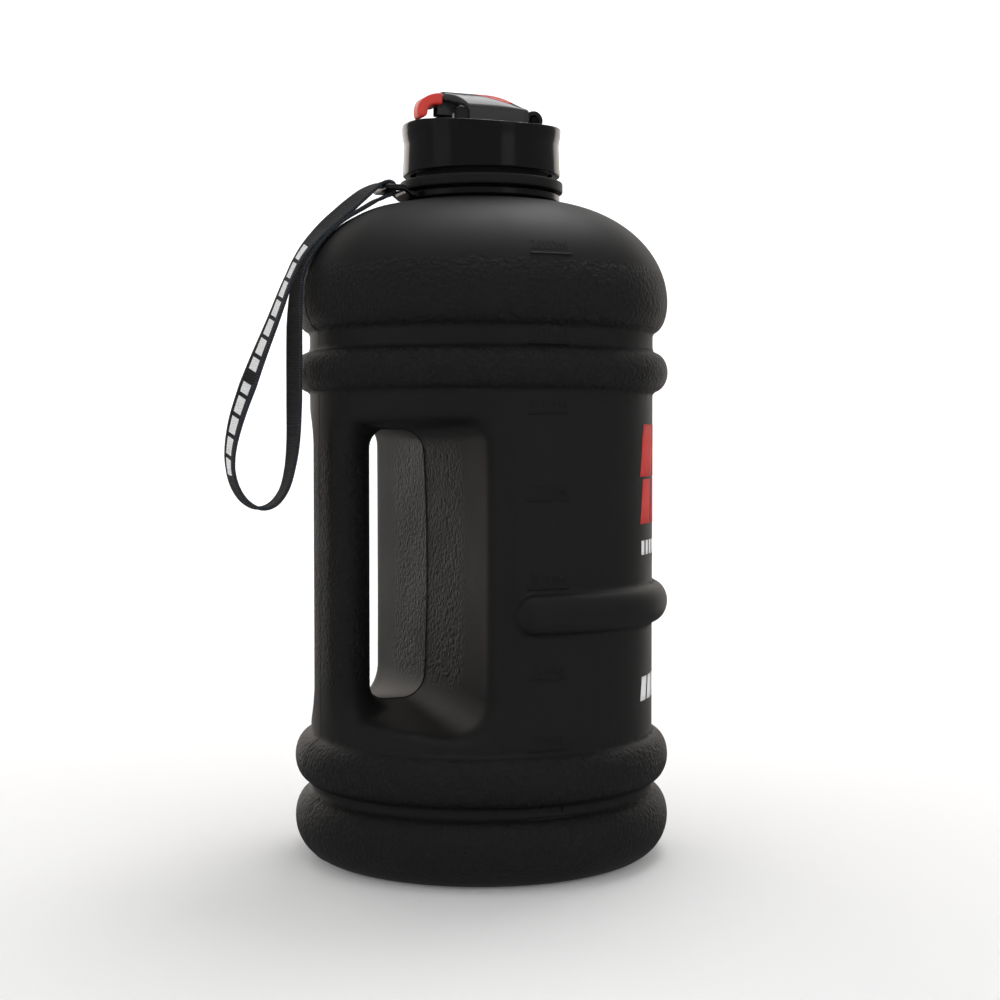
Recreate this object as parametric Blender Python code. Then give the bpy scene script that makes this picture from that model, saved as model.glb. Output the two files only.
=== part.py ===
"""Large water jug with a hand grip, a screw cap with a flip lid, and a wrist strap.

The jug stands on the floor plane with its axis on Z. The printed front faces +X, the
hand grip is at -X, and the grip's through hole runs along Y.
"""

import math

import bmesh
import bpy
from mathutils import Vector

MM = 0.001

# --- driving dimensions -------------------------------------------------------------
WALL_R = 61.8 * MM                # outer radius of the straight wall
RING_R = 67.5 * MM                # outer radius of the ribs, the widest part
WALL = 2.2 * MM                   # thickness of the blow-moulded wall
FOOT_R = 55.0 * MM                # outer edge of the flat ring that the jug stands on
FOOT_INNER_R = 49.0 * MM          # inner edge of that ring
PUSH_UP = 3.4 * MM                # height of the hollow under the base
HEEL_Z = 14.0 * MM                # widest point of the rounded heel
LOW_GROOVE_Z = 23.6 * MM          # groove between the heel and the lower rib
LOW_RIB_Z = 35.9 * MM
LOW_RIB_HALF = 8.5 * MM
MID_RIB_Z = 91.4 * MM
MID_RIB_HALF = 7.0 * MM
MID_RIB_REACH = 101.0             # degrees that the middle rib runs to each side of the front
TOP_RIB_Z = 173.3 * MM
TOP_RIB_HALF = 7.1 * MM
DOME_FOOT_Z = 187.4 * MM          # where the dome leaves the groove
DOME_Z = 198.1 * MM               # widest level of the dome
DOME_R = 67.0 * MM
DOME_MID_R = 22.8 * MM            # centre of the dome's elliptic shoulder
DOME_RISE = 35.5 * MM

NECK_R = 23.5 * MM                # neck wall between the thread turns
NECK_BORE_R = 21.0 * MM
NECK_TOP_Z = 254.6 * MM
BEAD_R = 29.3 * MM                # transfer bead under the cap
BEAD_Z = (237.7 * MM, 241.4 * MM)
STUB_R = 25.3 * MM                # neck between the dome and the bead

THREAD_LEAD = 6.0 * MM            # the cap rises this much in one turn
THREAD_TURNS = 1.25
NECK_THREAD_R = 24.9 * MM
CAP_THREAD_R = 24.1 * MM
NECK_THREAD_Z = 245.2 * MM        # middle of the neck thread's first turn

GRIP_COLUMN_X = -60.2 * MM        # back of the grip column
GRIP_COLUMN_DEPTH = 18.2 * MM
GRIP_COLUMN_HALF = 14.5 * MM
GRIP_TANK_X = -21.3 * MM          # tank side of the hole at the middle plane
GRIP_MOUTH_X = -17.7 * MM         # tank side of the hole at the outer wall
GRIP_MOUTH_Y = 59.0 * MM
GRIP_LOW_Z = (57.1 * MM, 49.0 * MM)      # floor at the middle plane and at the wall
GRIP_HIGH_Z = (153.1 * MM, 155.3 * MM)   # ceiling at the same two places
GRIP_CORNER = 8.3 * MM

RING_IN_R = 25.8 * MM             # carrier ring of the strap
RING_OUT_R = 28.2 * MM
RING_Z = (234.0 * MM, 237.0 * MM)
LUG_END_X = -38.6 * MM
LUG_Z = (236.5 * MM, 238.7 * MM)
LUG_HALF = 7.8 * MM
SLOT_X = (-35.4 * MM, -31.2 * MM)
SLOT_HALF = 5.8 * MM

STRAP_WIDTH = 10.0 * MM
STRAP_THICK = 1.2 * MM

CAP_LIP_R = 29.1 * MM
CAP_WAIST_R = 27.9 * MM
CAP_RIM_R = 28.6 * MM
CAP_RIM_IN_R = 26.8 * MM
CAP_BORE_R = 25.6 * MM
CAP_LIP_Z = 242.9 * MM
CAP_CEILING_Z = 256.7 * MM
CAP_DECK_Z = 258.1 * MM
CAP_RIM_Z = 259.0 * MM            # the rim's lowest point; it rises towards both ends
SPOUT_X = 1.5 * MM
SPOUT_R = 8.0 * MM
SPOUT_BORE_R = 6.3 * MM
SPOUT_TOP_Z = 265.2 * MM

PIN_X = 17.0 * MM                 # hinge pin of the flip lid
PIN_Z = 263.9 * MM
PIN_R = 1.25 * MM
PIN_HOLE_R = 1.6 * MM
EAR_R = 3.4 * MM
EAR_Y = (6.2 * MM, 8.8 * MM)
POST_X = -12.2 * MM               # latch posts beside the lid's neck
POST_R = 2.6 * MM
POST_Y = (9.6 * MM, 12.6 * MM)
POST_TOP_Z = 266.6 * MM

LID_LEFT_X = -9.2 * MM
LID_RIGHT_X = 14.6 * MM
LID_HALF = 11.7 * MM
LID_LOW_Z = 259.2 * MM
LID_EDGE_Z = 267.0 * MM           # upper edge of the lid's side wall
LID_CROWN_Z = 273.1 * MM
LID_WALL = 1.7 * MM
ARM_LEFT_X = -16.4 * MM
ARM_HALF = 6.2 * MM
ARM_LOW_Z = 269.4 * MM
ARM_SAG = 3.8 * MM                # how far the neck's underside comes down at the side wall
TAB_HALF = 6.2 * MM
INLAY_THICK = 1.0 * MM
INLAY_X = (-7.6 * MM, 8.2 * MM)
INLAY_HALF = 8.6 * MM
LID_ROUND_X = 12.6 * MM           # where the hinge end's corners start
LID_ROUND = 3.6 * MM
TONGUE_HALF = 2.6 * MM
KNUCKLE_R = 3.1 * MM
SEAL_PLUG_R = (4.6 * MM, 5.4 * MM)    # plug's tip and root
SEAL_R = 7.8 * MM
GAP = 0.3 * MM                    # clearance between neighbouring pieces


# --- helpers ------------------------------------------------------------------------
def clear_scene():
    """Remove every object, so that the script always starts from nothing."""
    for obj in list(bpy.data.objects):
        bpy.data.objects.remove(obj, do_unlink=True)


def material(name, colour, roughness, metallic=0.0):
    """Principled material with one colour, given as linear RGB."""
    mat = bpy.data.materials.new(name)
    mat.use_nodes = True
    shader = mat.node_tree.nodes["Principled BSDF"]
    shader.inputs["Base Color"].default_value = (*colour, 1.0)
    shader.inputs["Roughness"].default_value = roughness
    shader.inputs["Metallic"].default_value = metallic
    return mat


def finish(name, bm, mat=None):
    """Turn a bmesh into a smooth-shaded object in world coordinates."""
    bmesh.ops.remove_doubles(bm, verts=bm.verts, dist=1e-6)
    bmesh.ops.recalc_face_normals(bm, faces=bm.faces)
    mesh = bpy.data.meshes.new(name)
    bm.to_mesh(mesh)
    bm.free()
    mesh.shade_smooth()
    mesh.set_sharp_from_angle(angle=math.radians(35))
    obj = bpy.data.objects.new(name, mesh)
    bpy.context.scene.collection.objects.link(obj)
    if mat is not None:
        mesh.materials.append(mat)
    return obj


def tool(obj):
    """Mark an object as a modelling tool, which isn't part of the jug."""
    obj.hide_render = True
    obj.display_type = "WIRE"
    return obj


def combine(obj, other, operation):
    """Add a live Boolean of a tool object."""
    mod = obj.modifiers.new(operation.title(), "BOOLEAN")
    mod.operation = operation
    mod.solver = "EXACT"
    mod.object = tool(other)
    return obj


def cut(obj, other):
    return combine(obj, other, "DIFFERENCE")


def join(obj, other):
    return combine(obj, other, "UNION")


def arc(centre, radii, start, end, steps):
    """Points of an elliptic arc in a plane, from start to end degrees."""
    points = []
    for i in range(steps + 1):
        angle = math.radians(start + (end - start) * i / steps)
        points.append((centre[0] + radii[0] * math.cos(angle),
                       centre[1] + radii[1] * math.sin(angle)))
    return points


def turned(outline, steps, closed=False):
    """Revolve (radius, height) points round Z; an open outline starts and ends on the axis."""
    bm = bmesh.new()
    verts = [bm.verts.new((r, 0.0, z)) for r, z in outline]
    edges = [bm.edges.new(pair) for pair in zip(verts, verts[1:])]
    if closed:
        edges.append(bm.edges.new((verts[-1], verts[0])))
    bmesh.ops.spin(bm, geom=verts + edges, cent=(0, 0, 0), axis=(0, 0, 1),
                   angle=math.tau, steps=steps, use_merge=True)
    bmesh.ops.remove_doubles(bm, verts=bm.verts, dist=1e-6)
    return bm


def loft(sections, loop=False):
    """Skin a row of equal closed sections; the ends are capped unless the row is a loop."""
    bm = bmesh.new()
    rings = [[bm.verts.new(p) for p in section] for section in sections]
    count = len(rings[0])
    pairs = list(zip(rings, rings[1:]))
    if loop:
        pairs.append((rings[-1], rings[0]))
    for first, second in pairs:
        for i in range(count):
            j = (i + 1) % count
            bm.faces.new((first[i], first[j], second[j], second[i]))
    if not loop:
        bm.faces.new(list(reversed(rings[0])))
        bm.faces.new(rings[-1])
    return bm


def prism_y(outline, low, high):
    """Extrude an (x, z) outline between two values of Y."""
    return loft([[(x, y, z) for x, z in outline] for y in (low, high)])


def prism_z(outline, low, high):
    """Extrude an (x, y) outline between two heights."""
    return loft([[(x, y, z) for x, y in outline] for z in (low, high)])


def box(low, high):
    """Axis-aligned block between two corners."""
    outline = [(low[0], low[2]), (high[0], low[2]), (high[0], high[2]), (low[0], high[2])]
    return prism_y(outline, low[1], high[1])


def circle(x, z, radius, steps):
    """Closed outline of a circle."""
    return arc((x, z), (radius, radius), 0.0, 360.0 * (steps - 1) / steps, steps - 1)


def thread_ridge(name, root_r, crest_r, root_half, crest_half, start_z, turns):
    """Right-handed helical ridge whose section is a trapezium between two radii."""
    steps = int(28 * turns)
    sections = []
    for i in range(steps + 1):
        turn = turns * i / steps
        angle = math.tau * turn
        z = start_z + THREAD_LEAD * turn
        corners = [(root_r, z - root_half), (crest_r, z - crest_half),
                   (crest_r, z + crest_half), (root_r, z + root_half)]
        sections.append([(r * math.cos(angle), r * math.sin(angle), h) for r, h in corners])
    return finish(name, loft(sections))


# --- jug body -----------------------------------------------------------------------
def rib(middle, half, base_r, crest_r, steps=7):
    """Rounded rib on a turned outline, from its lower edge to its upper edge."""
    return arc((base_r, middle), (crest_r - base_r, half), -90.0, 90.0, steps)


def outer_outline():
    """Outline of the jug's outside, from the middle of the base up to the neck's top."""
    outline = [(0.0, PUSH_UP), (FOOT_INNER_R - 12 * MM, PUSH_UP - 0.6 * MM), (FOOT_INNER_R, 0.0)]
    outline += arc((FOOT_R, HEEL_Z), (RING_R - FOOT_R, HEEL_Z), -90.0, 0.0, 6)
    outline += arc((WALL_R, HEEL_Z), (RING_R - WALL_R, LOW_GROOVE_Z - HEEL_Z), 15.0, 90.0, 4)
    outline += rib(LOW_RIB_Z, LOW_RIB_HALF, WALL_R, RING_R)
    outline += rib(TOP_RIB_Z, TOP_RIB_HALF, WALL_R, RING_R - 0.3 * MM)
    outline += arc((WALL_R, DOME_Z), (DOME_R - WALL_R, DOME_Z - DOME_FOOT_Z), -90.0, -15.0, 4)
    outline += arc((DOME_MID_R, DOME_Z), (DOME_R - DOME_MID_R, DOME_RISE), 0.0, 85.0, 10)
    outline += [(STUB_R, 233.4 * MM), (STUB_R, BEAD_Z[0]), (BEAD_R, BEAD_Z[0]),
                (BEAD_R, BEAD_Z[1]), (NECK_R, BEAD_Z[1]), (NECK_R, NECK_TOP_Z), (0.0, NECK_TOP_Z)]
    return outline


def inner_outline():
    """Outline of the hollow, from the middle of the floor up past the neck's top."""
    wall_r = WALL_R - WALL
    crest_r = RING_R - WALL
    outline = [(0.0, PUSH_UP + WALL), (FOOT_INNER_R - 10 * MM, PUSH_UP + 1.6 * MM)]
    outline += arc((FOOT_R, HEEL_Z), (crest_r - FOOT_R, HEEL_Z - WALL), -90.0, 0.0, 3)
    outline += [(wall_r, LOW_GROOVE_Z - 1 * MM), (crest_r - 0.6 * MM, LOW_RIB_Z)]
    outline += [(wall_r, LOW_RIB_Z + LOW_RIB_HALF + 1 * MM)]
    outline += [(wall_r, TOP_RIB_Z - TOP_RIB_HALF), (crest_r - 1 * MM, TOP_RIB_Z)]
    outline += [(wall_r, TOP_RIB_Z + TOP_RIB_HALF), (wall_r, DOME_FOOT_Z)]
    outline += arc((DOME_MID_R, DOME_Z), (DOME_R - DOME_MID_R - WALL, DOME_RISE - WALL), 0.0, 82.0, 5)
    outline += [(NECK_BORE_R, 232.0 * MM), (NECK_BORE_R, NECK_TOP_Z + 5 * MM)]
    outline += [(0.0, NECK_TOP_Z + 5 * MM)]
    return outline


def grip_left(y, grow):
    """X of the grip column's face towards the hole, at a distance y from the middle plane."""
    half = GRIP_COLUMN_HALF - grow
    if y >= half:
        return GRIP_COLUMN_X - 4.0 * (y - half)
    depth = GRIP_COLUMN_DEPTH - grow
    return GRIP_COLUMN_X + depth * (1.0 - (y / half) ** 2.4) ** (1 / 2.4)


def grip_section(y, grow):
    """Rounded rectangle of the grip hole at one Y, made larger by grow all round."""
    flare = (min(abs(y), GRIP_MOUTH_Y) / GRIP_MOUTH_Y) ** 1.4
    left = max(grip_left(abs(y), grow), -RING_R - 8 * MM)
    right = GRIP_TANK_X + (GRIP_MOUTH_X - GRIP_TANK_X) * flare + grow
    low = GRIP_LOW_Z[0] + (GRIP_LOW_Z[1] - GRIP_LOW_Z[0]) * flare - grow
    high = GRIP_HIGH_Z[0] + (GRIP_HIGH_Z[1] - GRIP_HIGH_Z[0]) * flare + grow
    corner = GRIP_CORNER + grow
    outline = []
    for x, z, start in ((right - corner, high - corner, 0), (left + corner, high - corner, 90),
                        (left + corner, low + corner, 180), (right - corner, low + corner, 270)):
        outline += arc((x, z), (corner, corner), start, start + 90, 4)
    return [(x, y, z) for x, z in outline]


def grip_hole(name, grow):
    """The hole between the grip column and the tank, with a pocket on each side."""
    half = GRIP_COLUMN_HALF - grow
    levels = [half * math.sin(math.radians(90 * i / 6)) for i in range(7)]
    levels += [half + 1.5 * MM, 21 * MM, 32 * MM, 46 * MM, RING_R + 5 * MM]
    stations = [-y for y in reversed(levels[1:])] + levels
    return finish(name, loft([grip_section(y, grow) for y in stations]))


def middle_rib():
    """Rib round the front half of the wall, with rounded ends."""
    cap = math.degrees(MID_RIB_HALF / WALL_R)
    straight = MID_RIB_REACH - cap
    end = [(straight + cap * math.cos(math.radians(t)), max(math.sin(math.radians(t)), 0.1))
           for t in (0, 18, 36, 54, 72)]
    middle = [(straight - 2 * straight * i / 18, 1.0) for i in range(19)]
    stations = end + middle + [(-angle, taper) for angle, taper in reversed(end)]
    root = WALL_R - 1.0 * MM
    sections = []
    for degrees, taper in stations:
        angle = math.radians(degrees)
        half = MID_RIB_HALF * taper
        crest = WALL_R + (RING_R - 0.2 * MM - WALL_R) * taper
        profile = [(root, MID_RIB_Z - half)] + rib(MID_RIB_Z, half, WALL_R - 0.2 * MM, crest, 6)
        profile += [(root, MID_RIB_Z + half)]
        sections.append([(r * math.cos(angle), r * math.sin(angle), z) for r, z in profile])
    return finish("middle_rib_tool", loft(sections))


def make_jug_body(mat):
    body = finish("jug_body", turned(outer_outline(), 48), mat)
    cut(body, grip_hole("grip_hole_tool", 0.0))
    join(body, middle_rib())
    hollow = finish("hollow_tool", turned(inner_outline(), 40))
    cut(hollow, grip_hole("grip_wall_tool", WALL))
    cut(body, hollow)
    join(body, thread_ridge("neck_thread_tool", NECK_R - 0.4 * MM, NECK_THREAD_R,
                            1.2 * MM, 0.5 * MM, NECK_THREAD_Z, THREAD_TURNS))
    return body


# --- strap carrier and strap --------------------------------------------------------
def make_carrier_ring(mat):
    """Loose ring under the transfer bead, with a slotted lug for the strap."""
    outline = [(RING_IN_R, RING_Z[0]), (RING_OUT_R, RING_Z[0]),
               (RING_OUT_R, RING_Z[1]), (RING_IN_R, RING_Z[1])]
    ring = finish("carrier_ring", turned(outline, 48, closed=True), mat)
    side = [(-26.6 * MM, RING_Z[0] + 0.4 * MM), (-29.0 * MM, RING_Z[0] + 0.5 * MM),
            (-31.6 * MM, LUG_Z[0]), (LUG_END_X + 0.8 * MM, LUG_Z[0]), (LUG_END_X, LUG_Z[0] + 0.8 * MM),
            (LUG_END_X, LUG_Z[1] - 0.8 * MM), (LUG_END_X + 0.8 * MM, LUG_Z[1]),
            (-31.6 * MM, LUG_Z[1]), (-29.6 * MM, RING_Z[1] - 0.1 * MM), (-26.6 * MM, RING_Z[1] - 0.3 * MM)]
    join(ring, finish("lug_tool", prism_y(side, -LUG_HALF, LUG_HALF)))
    cut(ring, finish("slot_tool", box((SLOT_X[0], -SLOT_HALF, RING_Z[0] - 5 * MM),
                                      (SLOT_X[1], SLOT_HALF, LUG_Z[1] + 5 * MM))))
    return ring


# The strap's middle line in the plane Y = 0, as (x, z) in millimetres. It starts in the
# lug's slot, goes over the bar, down the outer strand and back up the inner one.
STRAP_ROUTE = [
    (-34.3, 237.6), (-34.6, 239.2), (-36.2, 240.2), (-39.4, 239.8), (-44.2, 236.9),
    (-50.6, 231.4), (-57.6, 225.2), (-63.4, 219.0), (-67.6, 212.9), (-70.6, 206.8),
    (-73.2, 200.8), (-77.3, 190.2), (-81.9, 179.0), (-86.2, 167.8), (-90.1, 156.6),
    (-92.3, 147.0), (-92.6, 140.0), (-91.2, 134.2), (-87.8, 129.6), (-82.8, 127.3),
    (-77.6, 128.6), (-73.6, 133.2), (-71.4, 140.0), (-70.5, 149.0), (-70.4, 162.0),
    (-70.5, 176.0), (-70.3, 189.0), (-69.4, 199.4), (-68.0, 206.4), (-65.2, 212.8),
    (-59.0, 221.4), (-52.6, 226.8), (-45.0, 231.4), (-39.4, 234.2), (-36.2, 235.0),
    (-34.6, 236.0),
]

# How far the webbing is turned about Z at each point of the route, in degrees
STRAP_TURNS = [0, 0, 0, 6, 16, 20, 17, 9, 3, 2, 5, 10, 16, 22, 16, 7, 1, 0,
               0, 0, 0, 0, 3, 9, 14, 15, 14, 9, 4, 2, 0, 0, 0, 0, 0, 0]


def spline_point(points, index, share):
    """Point of a smooth closed curve, between two of its own points."""
    count = len(points)
    a, b, c, d = (Vector(points[(index + k) % count]) for k in (-1, 0, 1, 2))
    bend = (2 * a - 5 * b + 4 * c - d) * share ** 2 + (3 * b - a - 3 * c + d) * share ** 3
    return b + 0.5 * ((c - a) * share + bend)


def strap_width_direction(index, share):
    """Across the webbing: along Y at the lug, and turned about Z where the strands hang free."""
    after = STRAP_TURNS[(index + 1) % len(STRAP_TURNS)]
    turn = math.radians(STRAP_TURNS[index] * (1.0 - share) + after * share)
    return Vector((math.sin(turn), -math.cos(turn), 0.0))


def make_wrist_strap(mat):
    """Webbing loop through the lug's slot, as one closed ribbon."""
    route = [(x * MM, 0.0, z * MM) for x, z in STRAP_ROUTE]
    steps = 2
    line = [spline_point(route, i, k / steps) for i in range(len(route)) for k in range(steps)]
    sections = []
    for i, point in enumerate(line):
        along = (line[(i + 1) % len(line)] - line[i - 1]).normalized()
        across = strap_width_direction(i // steps, i % steps / steps)
        across = (across - along * across.dot(along)).normalized() * (STRAP_WIDTH / 2)
        out = along.cross(across).normalized() * (STRAP_THICK / 2)
        sections.append([point + across + out, point - across + out,
                         point - across - out, point + across - out])
    return finish("wrist_strap", loft(sections, loop=True), mat)


# --- cap ----------------------------------------------------------------------------
def rim_height(angle):
    """Height of the cap's rim: it rises towards the tab and, less, towards the hinge."""
    return CAP_RIM_Z + 2.1 * MM * math.cos(angle) ** 2 - 0.6 * MM * (math.cos(angle) - 1.0) / 2


def make_screw_cap(mat):
    """Cap with an inner thread, a drinking spout, two hinge ears and two latch posts."""
    top = CAP_RIM_Z
    outline = [(CAP_BORE_R, CAP_LIP_Z), (CAP_LIP_R, CAP_LIP_Z), (CAP_LIP_R, CAP_LIP_Z + 1.3 * MM)]
    outline += arc((CAP_WAIST_R + 2.4 * MM, CAP_LIP_Z + 4.5 * MM), (2.4 * MM, 2.9 * MM), 225.0, 180.0, 3)
    outline += [(CAP_WAIST_R, CAP_LIP_Z + 11 * MM), (CAP_RIM_R - 0.2 * MM, CAP_DECK_Z),
                (CAP_RIM_R, top - 0.6 * MM), (CAP_RIM_R - 0.5 * MM, top),
                (CAP_RIM_IN_R, top), (CAP_RIM_IN_R, CAP_DECK_Z),
                (SPOUT_R, CAP_DECK_Z), (SPOUT_R, CAP_CEILING_Z), (CAP_BORE_R, CAP_CEILING_Z)]
    bm = turned(outline, 48, closed=True)
    for vert in bm.verts:
        if vert.co.z > top - 1e-6 and vert.co.xy.length > CAP_RIM_IN_R - 1e-4:
            vert.co.z = rim_height(math.atan2(vert.co.y, vert.co.x))
    cap = finish("screw_cap", bm, mat)

    spout = turned([(0.0, CAP_CEILING_Z), (SPOUT_R + 3 * MM, CAP_CEILING_Z),
                    (SPOUT_R + 3 * MM, CAP_DECK_Z), (SPOUT_R, CAP_DECK_Z), (SPOUT_R, SPOUT_TOP_Z - 0.6 * MM),
                    (SPOUT_R - 0.6 * MM, SPOUT_TOP_Z), (0.0, SPOUT_TOP_Z)], 32)
    bmesh.ops.translate(spout, verts=spout.verts, vec=(SPOUT_X, 0, 0))
    join(cap, finish("spout_tool", spout))
    bore = turned([(0.0, CAP_CEILING_Z - 2 * MM), (SPOUT_BORE_R, CAP_CEILING_Z - 2 * MM),
                   (SPOUT_BORE_R, SPOUT_TOP_Z + 2 * MM), (0.0, SPOUT_TOP_Z + 2 * MM)], 32)
    bmesh.ops.translate(bore, verts=bore.verts, vec=(SPOUT_X, 0, 0))

    base_z = CAP_DECK_Z - 0.6 * MM
    ear = [(PIN_X + EAR_R * 0.8, base_z)] + arc((PIN_X, PIN_Z), (EAR_R, EAR_R), -25, 205, 12)
    ear += [(PIN_X - EAR_R * 0.8, base_z)]
    post = [(POST_X + POST_R, base_z)]
    post += arc((POST_X, POST_TOP_Z - POST_R), (POST_R, POST_R), 0, 180, 8) + [(POST_X - POST_R, base_z)]
    for side, label in ((-1, "near"), (1, "far")):
        ends = sorted((side * EAR_Y[0], side * EAR_Y[1]))
        join(cap, finish(f"ear_tool_{label}", prism_y(ear, *ends)))
        ends = sorted((side * POST_Y[0], side * POST_Y[1]))
        join(cap, finish(f"post_tool_{label}", prism_y(post, *ends)))
    cut(cap, finish("bore_tool", bore))
    hole = prism_y(circle(PIN_X, PIN_Z, PIN_HOLE_R, 16), -EAR_Y[1] - 2 * MM, EAR_Y[1] + 2 * MM)
    cut(cap, finish("pin_hole_tool", hole))
    start_z = NECK_THREAD_Z + THREAD_LEAD / 2
    join(cap, thread_ridge("cap_thread_tool", CAP_BORE_R + 0.5 * MM, CAP_THREAD_R,
                           1.2 * MM, 0.5 * MM, start_z, 1.0))
    return cap


def make_cap_gasket(mat):
    """Flat seal between the neck's lip and the underside of the cap."""
    low, high = NECK_TOP_Z + GAP, CAP_CEILING_Z - GAP
    outline = [(NECK_BORE_R - 0.8 * MM, low), (NECK_R + 1.0 * MM, low),
               (NECK_R + 1.0 * MM, high), (NECK_BORE_R - 0.8 * MM, high)]
    return finish("cap_gasket", turned(outline, 40, closed=True), mat)


def make_hinge_pin(mat):
    """Pin through the two ears and the lid's knuckle."""
    outline = circle(PIN_X, PIN_Z, PIN_R, 16)
    return finish("hinge_pin", prism_y(outline, -EAR_Y[1], EAR_Y[1]), mat)


# --- flip lid -----------------------------------------------------------------------
def crown_height(x):
    """Height of the lid's middle line: flat at the neck, falling in a curve to the hinge."""
    fall = max(x + 1 * MM, 0.0) / (LID_RIGHT_X + 1 * MM)
    return LID_CROWN_Z - (LID_CROWN_Z - LID_EDGE_Z - 0.3 * MM) * fall ** 2.6


def lid_half_width(x):
    """Half the lid's width in plan: narrow neck, full width, rounded hinge end."""
    if x < LID_LEFT_X:
        share = (x - ARM_LEFT_X) / (LID_LEFT_X - ARM_LEFT_X)
        return ARM_HALF + (LID_HALF - ARM_HALF) * share ** 2.2
    share = max(x - LID_ROUND_X, 0.0) / (LID_RIGHT_X - LID_ROUND_X)
    return LID_HALF - LID_ROUND * (1.0 - math.sqrt(1.0 - 0.98 * share ** 2))


def lid_section(x, low, sink):
    """Section of the lid at one x: flat bottom, straight sides, crowned top."""
    half = lid_half_width(x)
    section = [(x, half, low)]
    steps = 10
    for i in range(steps + 1):
        y = half * math.cos(math.pi * i / steps)
        crown = 1.0 - (abs(y) / LID_HALF) ** 2.2
        section.append((x, y, LID_EDGE_Z + (crown_height(x) - LID_EDGE_Z) * crown - sink))
    section.append((x, -half, low))
    return section


def lid_block(name, low, sink=0.0, mat=None):
    """Solid under the lid's crowned top, from the neck's end to the hinge end."""
    steps = 20
    stations = [ARM_LEFT_X + (LID_RIGHT_X - ARM_LEFT_X) * i / steps for i in range(steps + 1)]
    return finish(name, loft([lid_section(x, low, sink) for x in stations]), mat)


def inlay_outline(grow):
    """Plan of the inlay: pointed towards the tab, straight across towards the hinge."""
    left, right, half = INLAY_X[0] - grow, INLAY_X[1] + grow, INLAY_HALF + grow
    steps = 7
    upper = []
    for i in range(1, steps + 1):
        share = i / steps
        upper.append((left + (right - left) * share, half * math.sin(share * math.pi / 2) ** 0.8))
    lower = [(x, -y) for x, y in reversed(upper)]
    return [(left, 0.0)] + lower[::-1] + upper[::-1]


# Side view of the rib under the lid's neck and the tab's root, as (x, z) in millimetres
TONGUE_SIDE = [(-21.0, 266.6), (-8.4, 266.6), (-8.4, 268.5), (-10.0, 270.8), (-16.0, 270.8),
               (-16.0, 268.2), (-21.0, 268.2)]


def make_flip_lid(mat):
    """Crowned lid with a side wall, a neck towards the tab and a hinge knuckle."""
    lid = lid_block("flip_lid", LID_LOW_Z, mat=mat)
    width = LID_LEFT_X - ARM_LEFT_X
    under_arm = [(LID_LEFT_X, LID_LOW_Z - 2 * MM)]
    under_arm += arc((LID_LEFT_X - width, ARM_LOW_Z - ARM_SAG), (width, ARM_SAG), 0, 90, 6)
    under_arm += [(ARM_LEFT_X - 5 * MM, ARM_LOW_Z), (ARM_LEFT_X - 5 * MM, LID_LOW_Z - 2 * MM)]
    cut(lid, finish("under_arm_tool", prism_y(under_arm, -LID_HALF - 3 * MM, LID_HALF + 3 * MM)))
    inside = box((LID_LEFT_X + LID_WALL, -LID_HALF + LID_WALL, LID_LOW_Z - 2 * MM),
                 (LID_RIGHT_X + 5 * MM, LID_HALF - LID_WALL, LID_EDGE_Z))
    cut(lid, finish("lid_inside_tool", inside))
    knuckle_half = EAR_Y[0] - GAP
    for side, label in ((-1, "near"), (1, "far")):
        ends = sorted((side * knuckle_half, side * (EAR_Y[1] + 0.5 * MM)))
        notch = box((PIN_X - EAR_R - 0.6 * MM, ends[0], LID_LOW_Z - 2 * MM),
                    (PIN_X + 5 * MM, ends[1], LID_CROWN_Z))
        cut(lid, finish(f"ear_notch_tool_{label}", notch))
    tongue_side = [(x * MM, z * MM) for x, z in TONGUE_SIDE]
    join(lid, finish("tongue_tool", prism_y(tongue_side, -TONGUE_HALF, TONGUE_HALF)))
    web_z = LID_EDGE_Z + 0.4 * MM
    knuckle = [(PIN_X, web_z - 0.4 * MM), (LID_RIGHT_X - 3 * MM, web_z), (LID_RIGHT_X - 3 * MM, PIN_Z)]
    knuckle += arc((PIN_X, PIN_Z), (KNUCKLE_R, KNUCKLE_R), 180, 450, 14)[:-1]
    join(lid, finish("knuckle_tool", prism_y(knuckle, -knuckle_half, knuckle_half)))
    hole = prism_y(circle(PIN_X, PIN_Z, PIN_HOLE_R, 16), -knuckle_half - 1 * MM, knuckle_half + 1 * MM)
    cut(lid, finish("lid_pin_hole_tool", hole))
    recess = finish("recess_tool", prism_z(inlay_outline(GAP), LID_EDGE_Z, LID_CROWN_Z + 3 * MM))
    depth = INLAY_THICK + GAP
    cut(recess, lid_block("recess_floor_tool", LID_LOW_Z, sink=depth))
    cut(lid, recess)
    return lid


def make_lid_inlay(mat):
    """Coloured insert, flush with the lid's crowned top."""
    inlay = lid_block("lid_inlay", LID_LOW_Z, mat=mat)
    shape = finish("inlay_shape_tool", prism_z(inlay_outline(0.0), LID_LOW_Z + 1 * MM, LID_CROWN_Z + 3 * MM))
    combine(inlay, shape, "INTERSECT")
    cut(inlay, lid_block("inlay_floor_tool", LID_LOW_Z - 2 * MM, sink=INLAY_THICK))
    return inlay


# The thumb tab's side view, as (x, z), and half of its plan, as (x, y), in millimetres
TAB_SIDE = [
    (-16.7, 272.3), (-19.5, 272.0), (-22.2, 271.0), (-24.3, 269.2), (-25.2, 266.8),
    (-25.2, 264.6), (-24.6, 263.6), (-23.6, 263.5), (-23.2, 264.4), (-23.2, 266.6),
    (-22.6, 267.8), (-21.4, 268.5), (-19.5, 268.6), (-16.7, 268.8),
]
TAB_PLAN = [(-16.0, 6.2), (-20.0, 6.2), (-22.0, 5.7), (-23.6, 4.7), (-24.7, 3.4), (-25.5, 2.2)]


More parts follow.
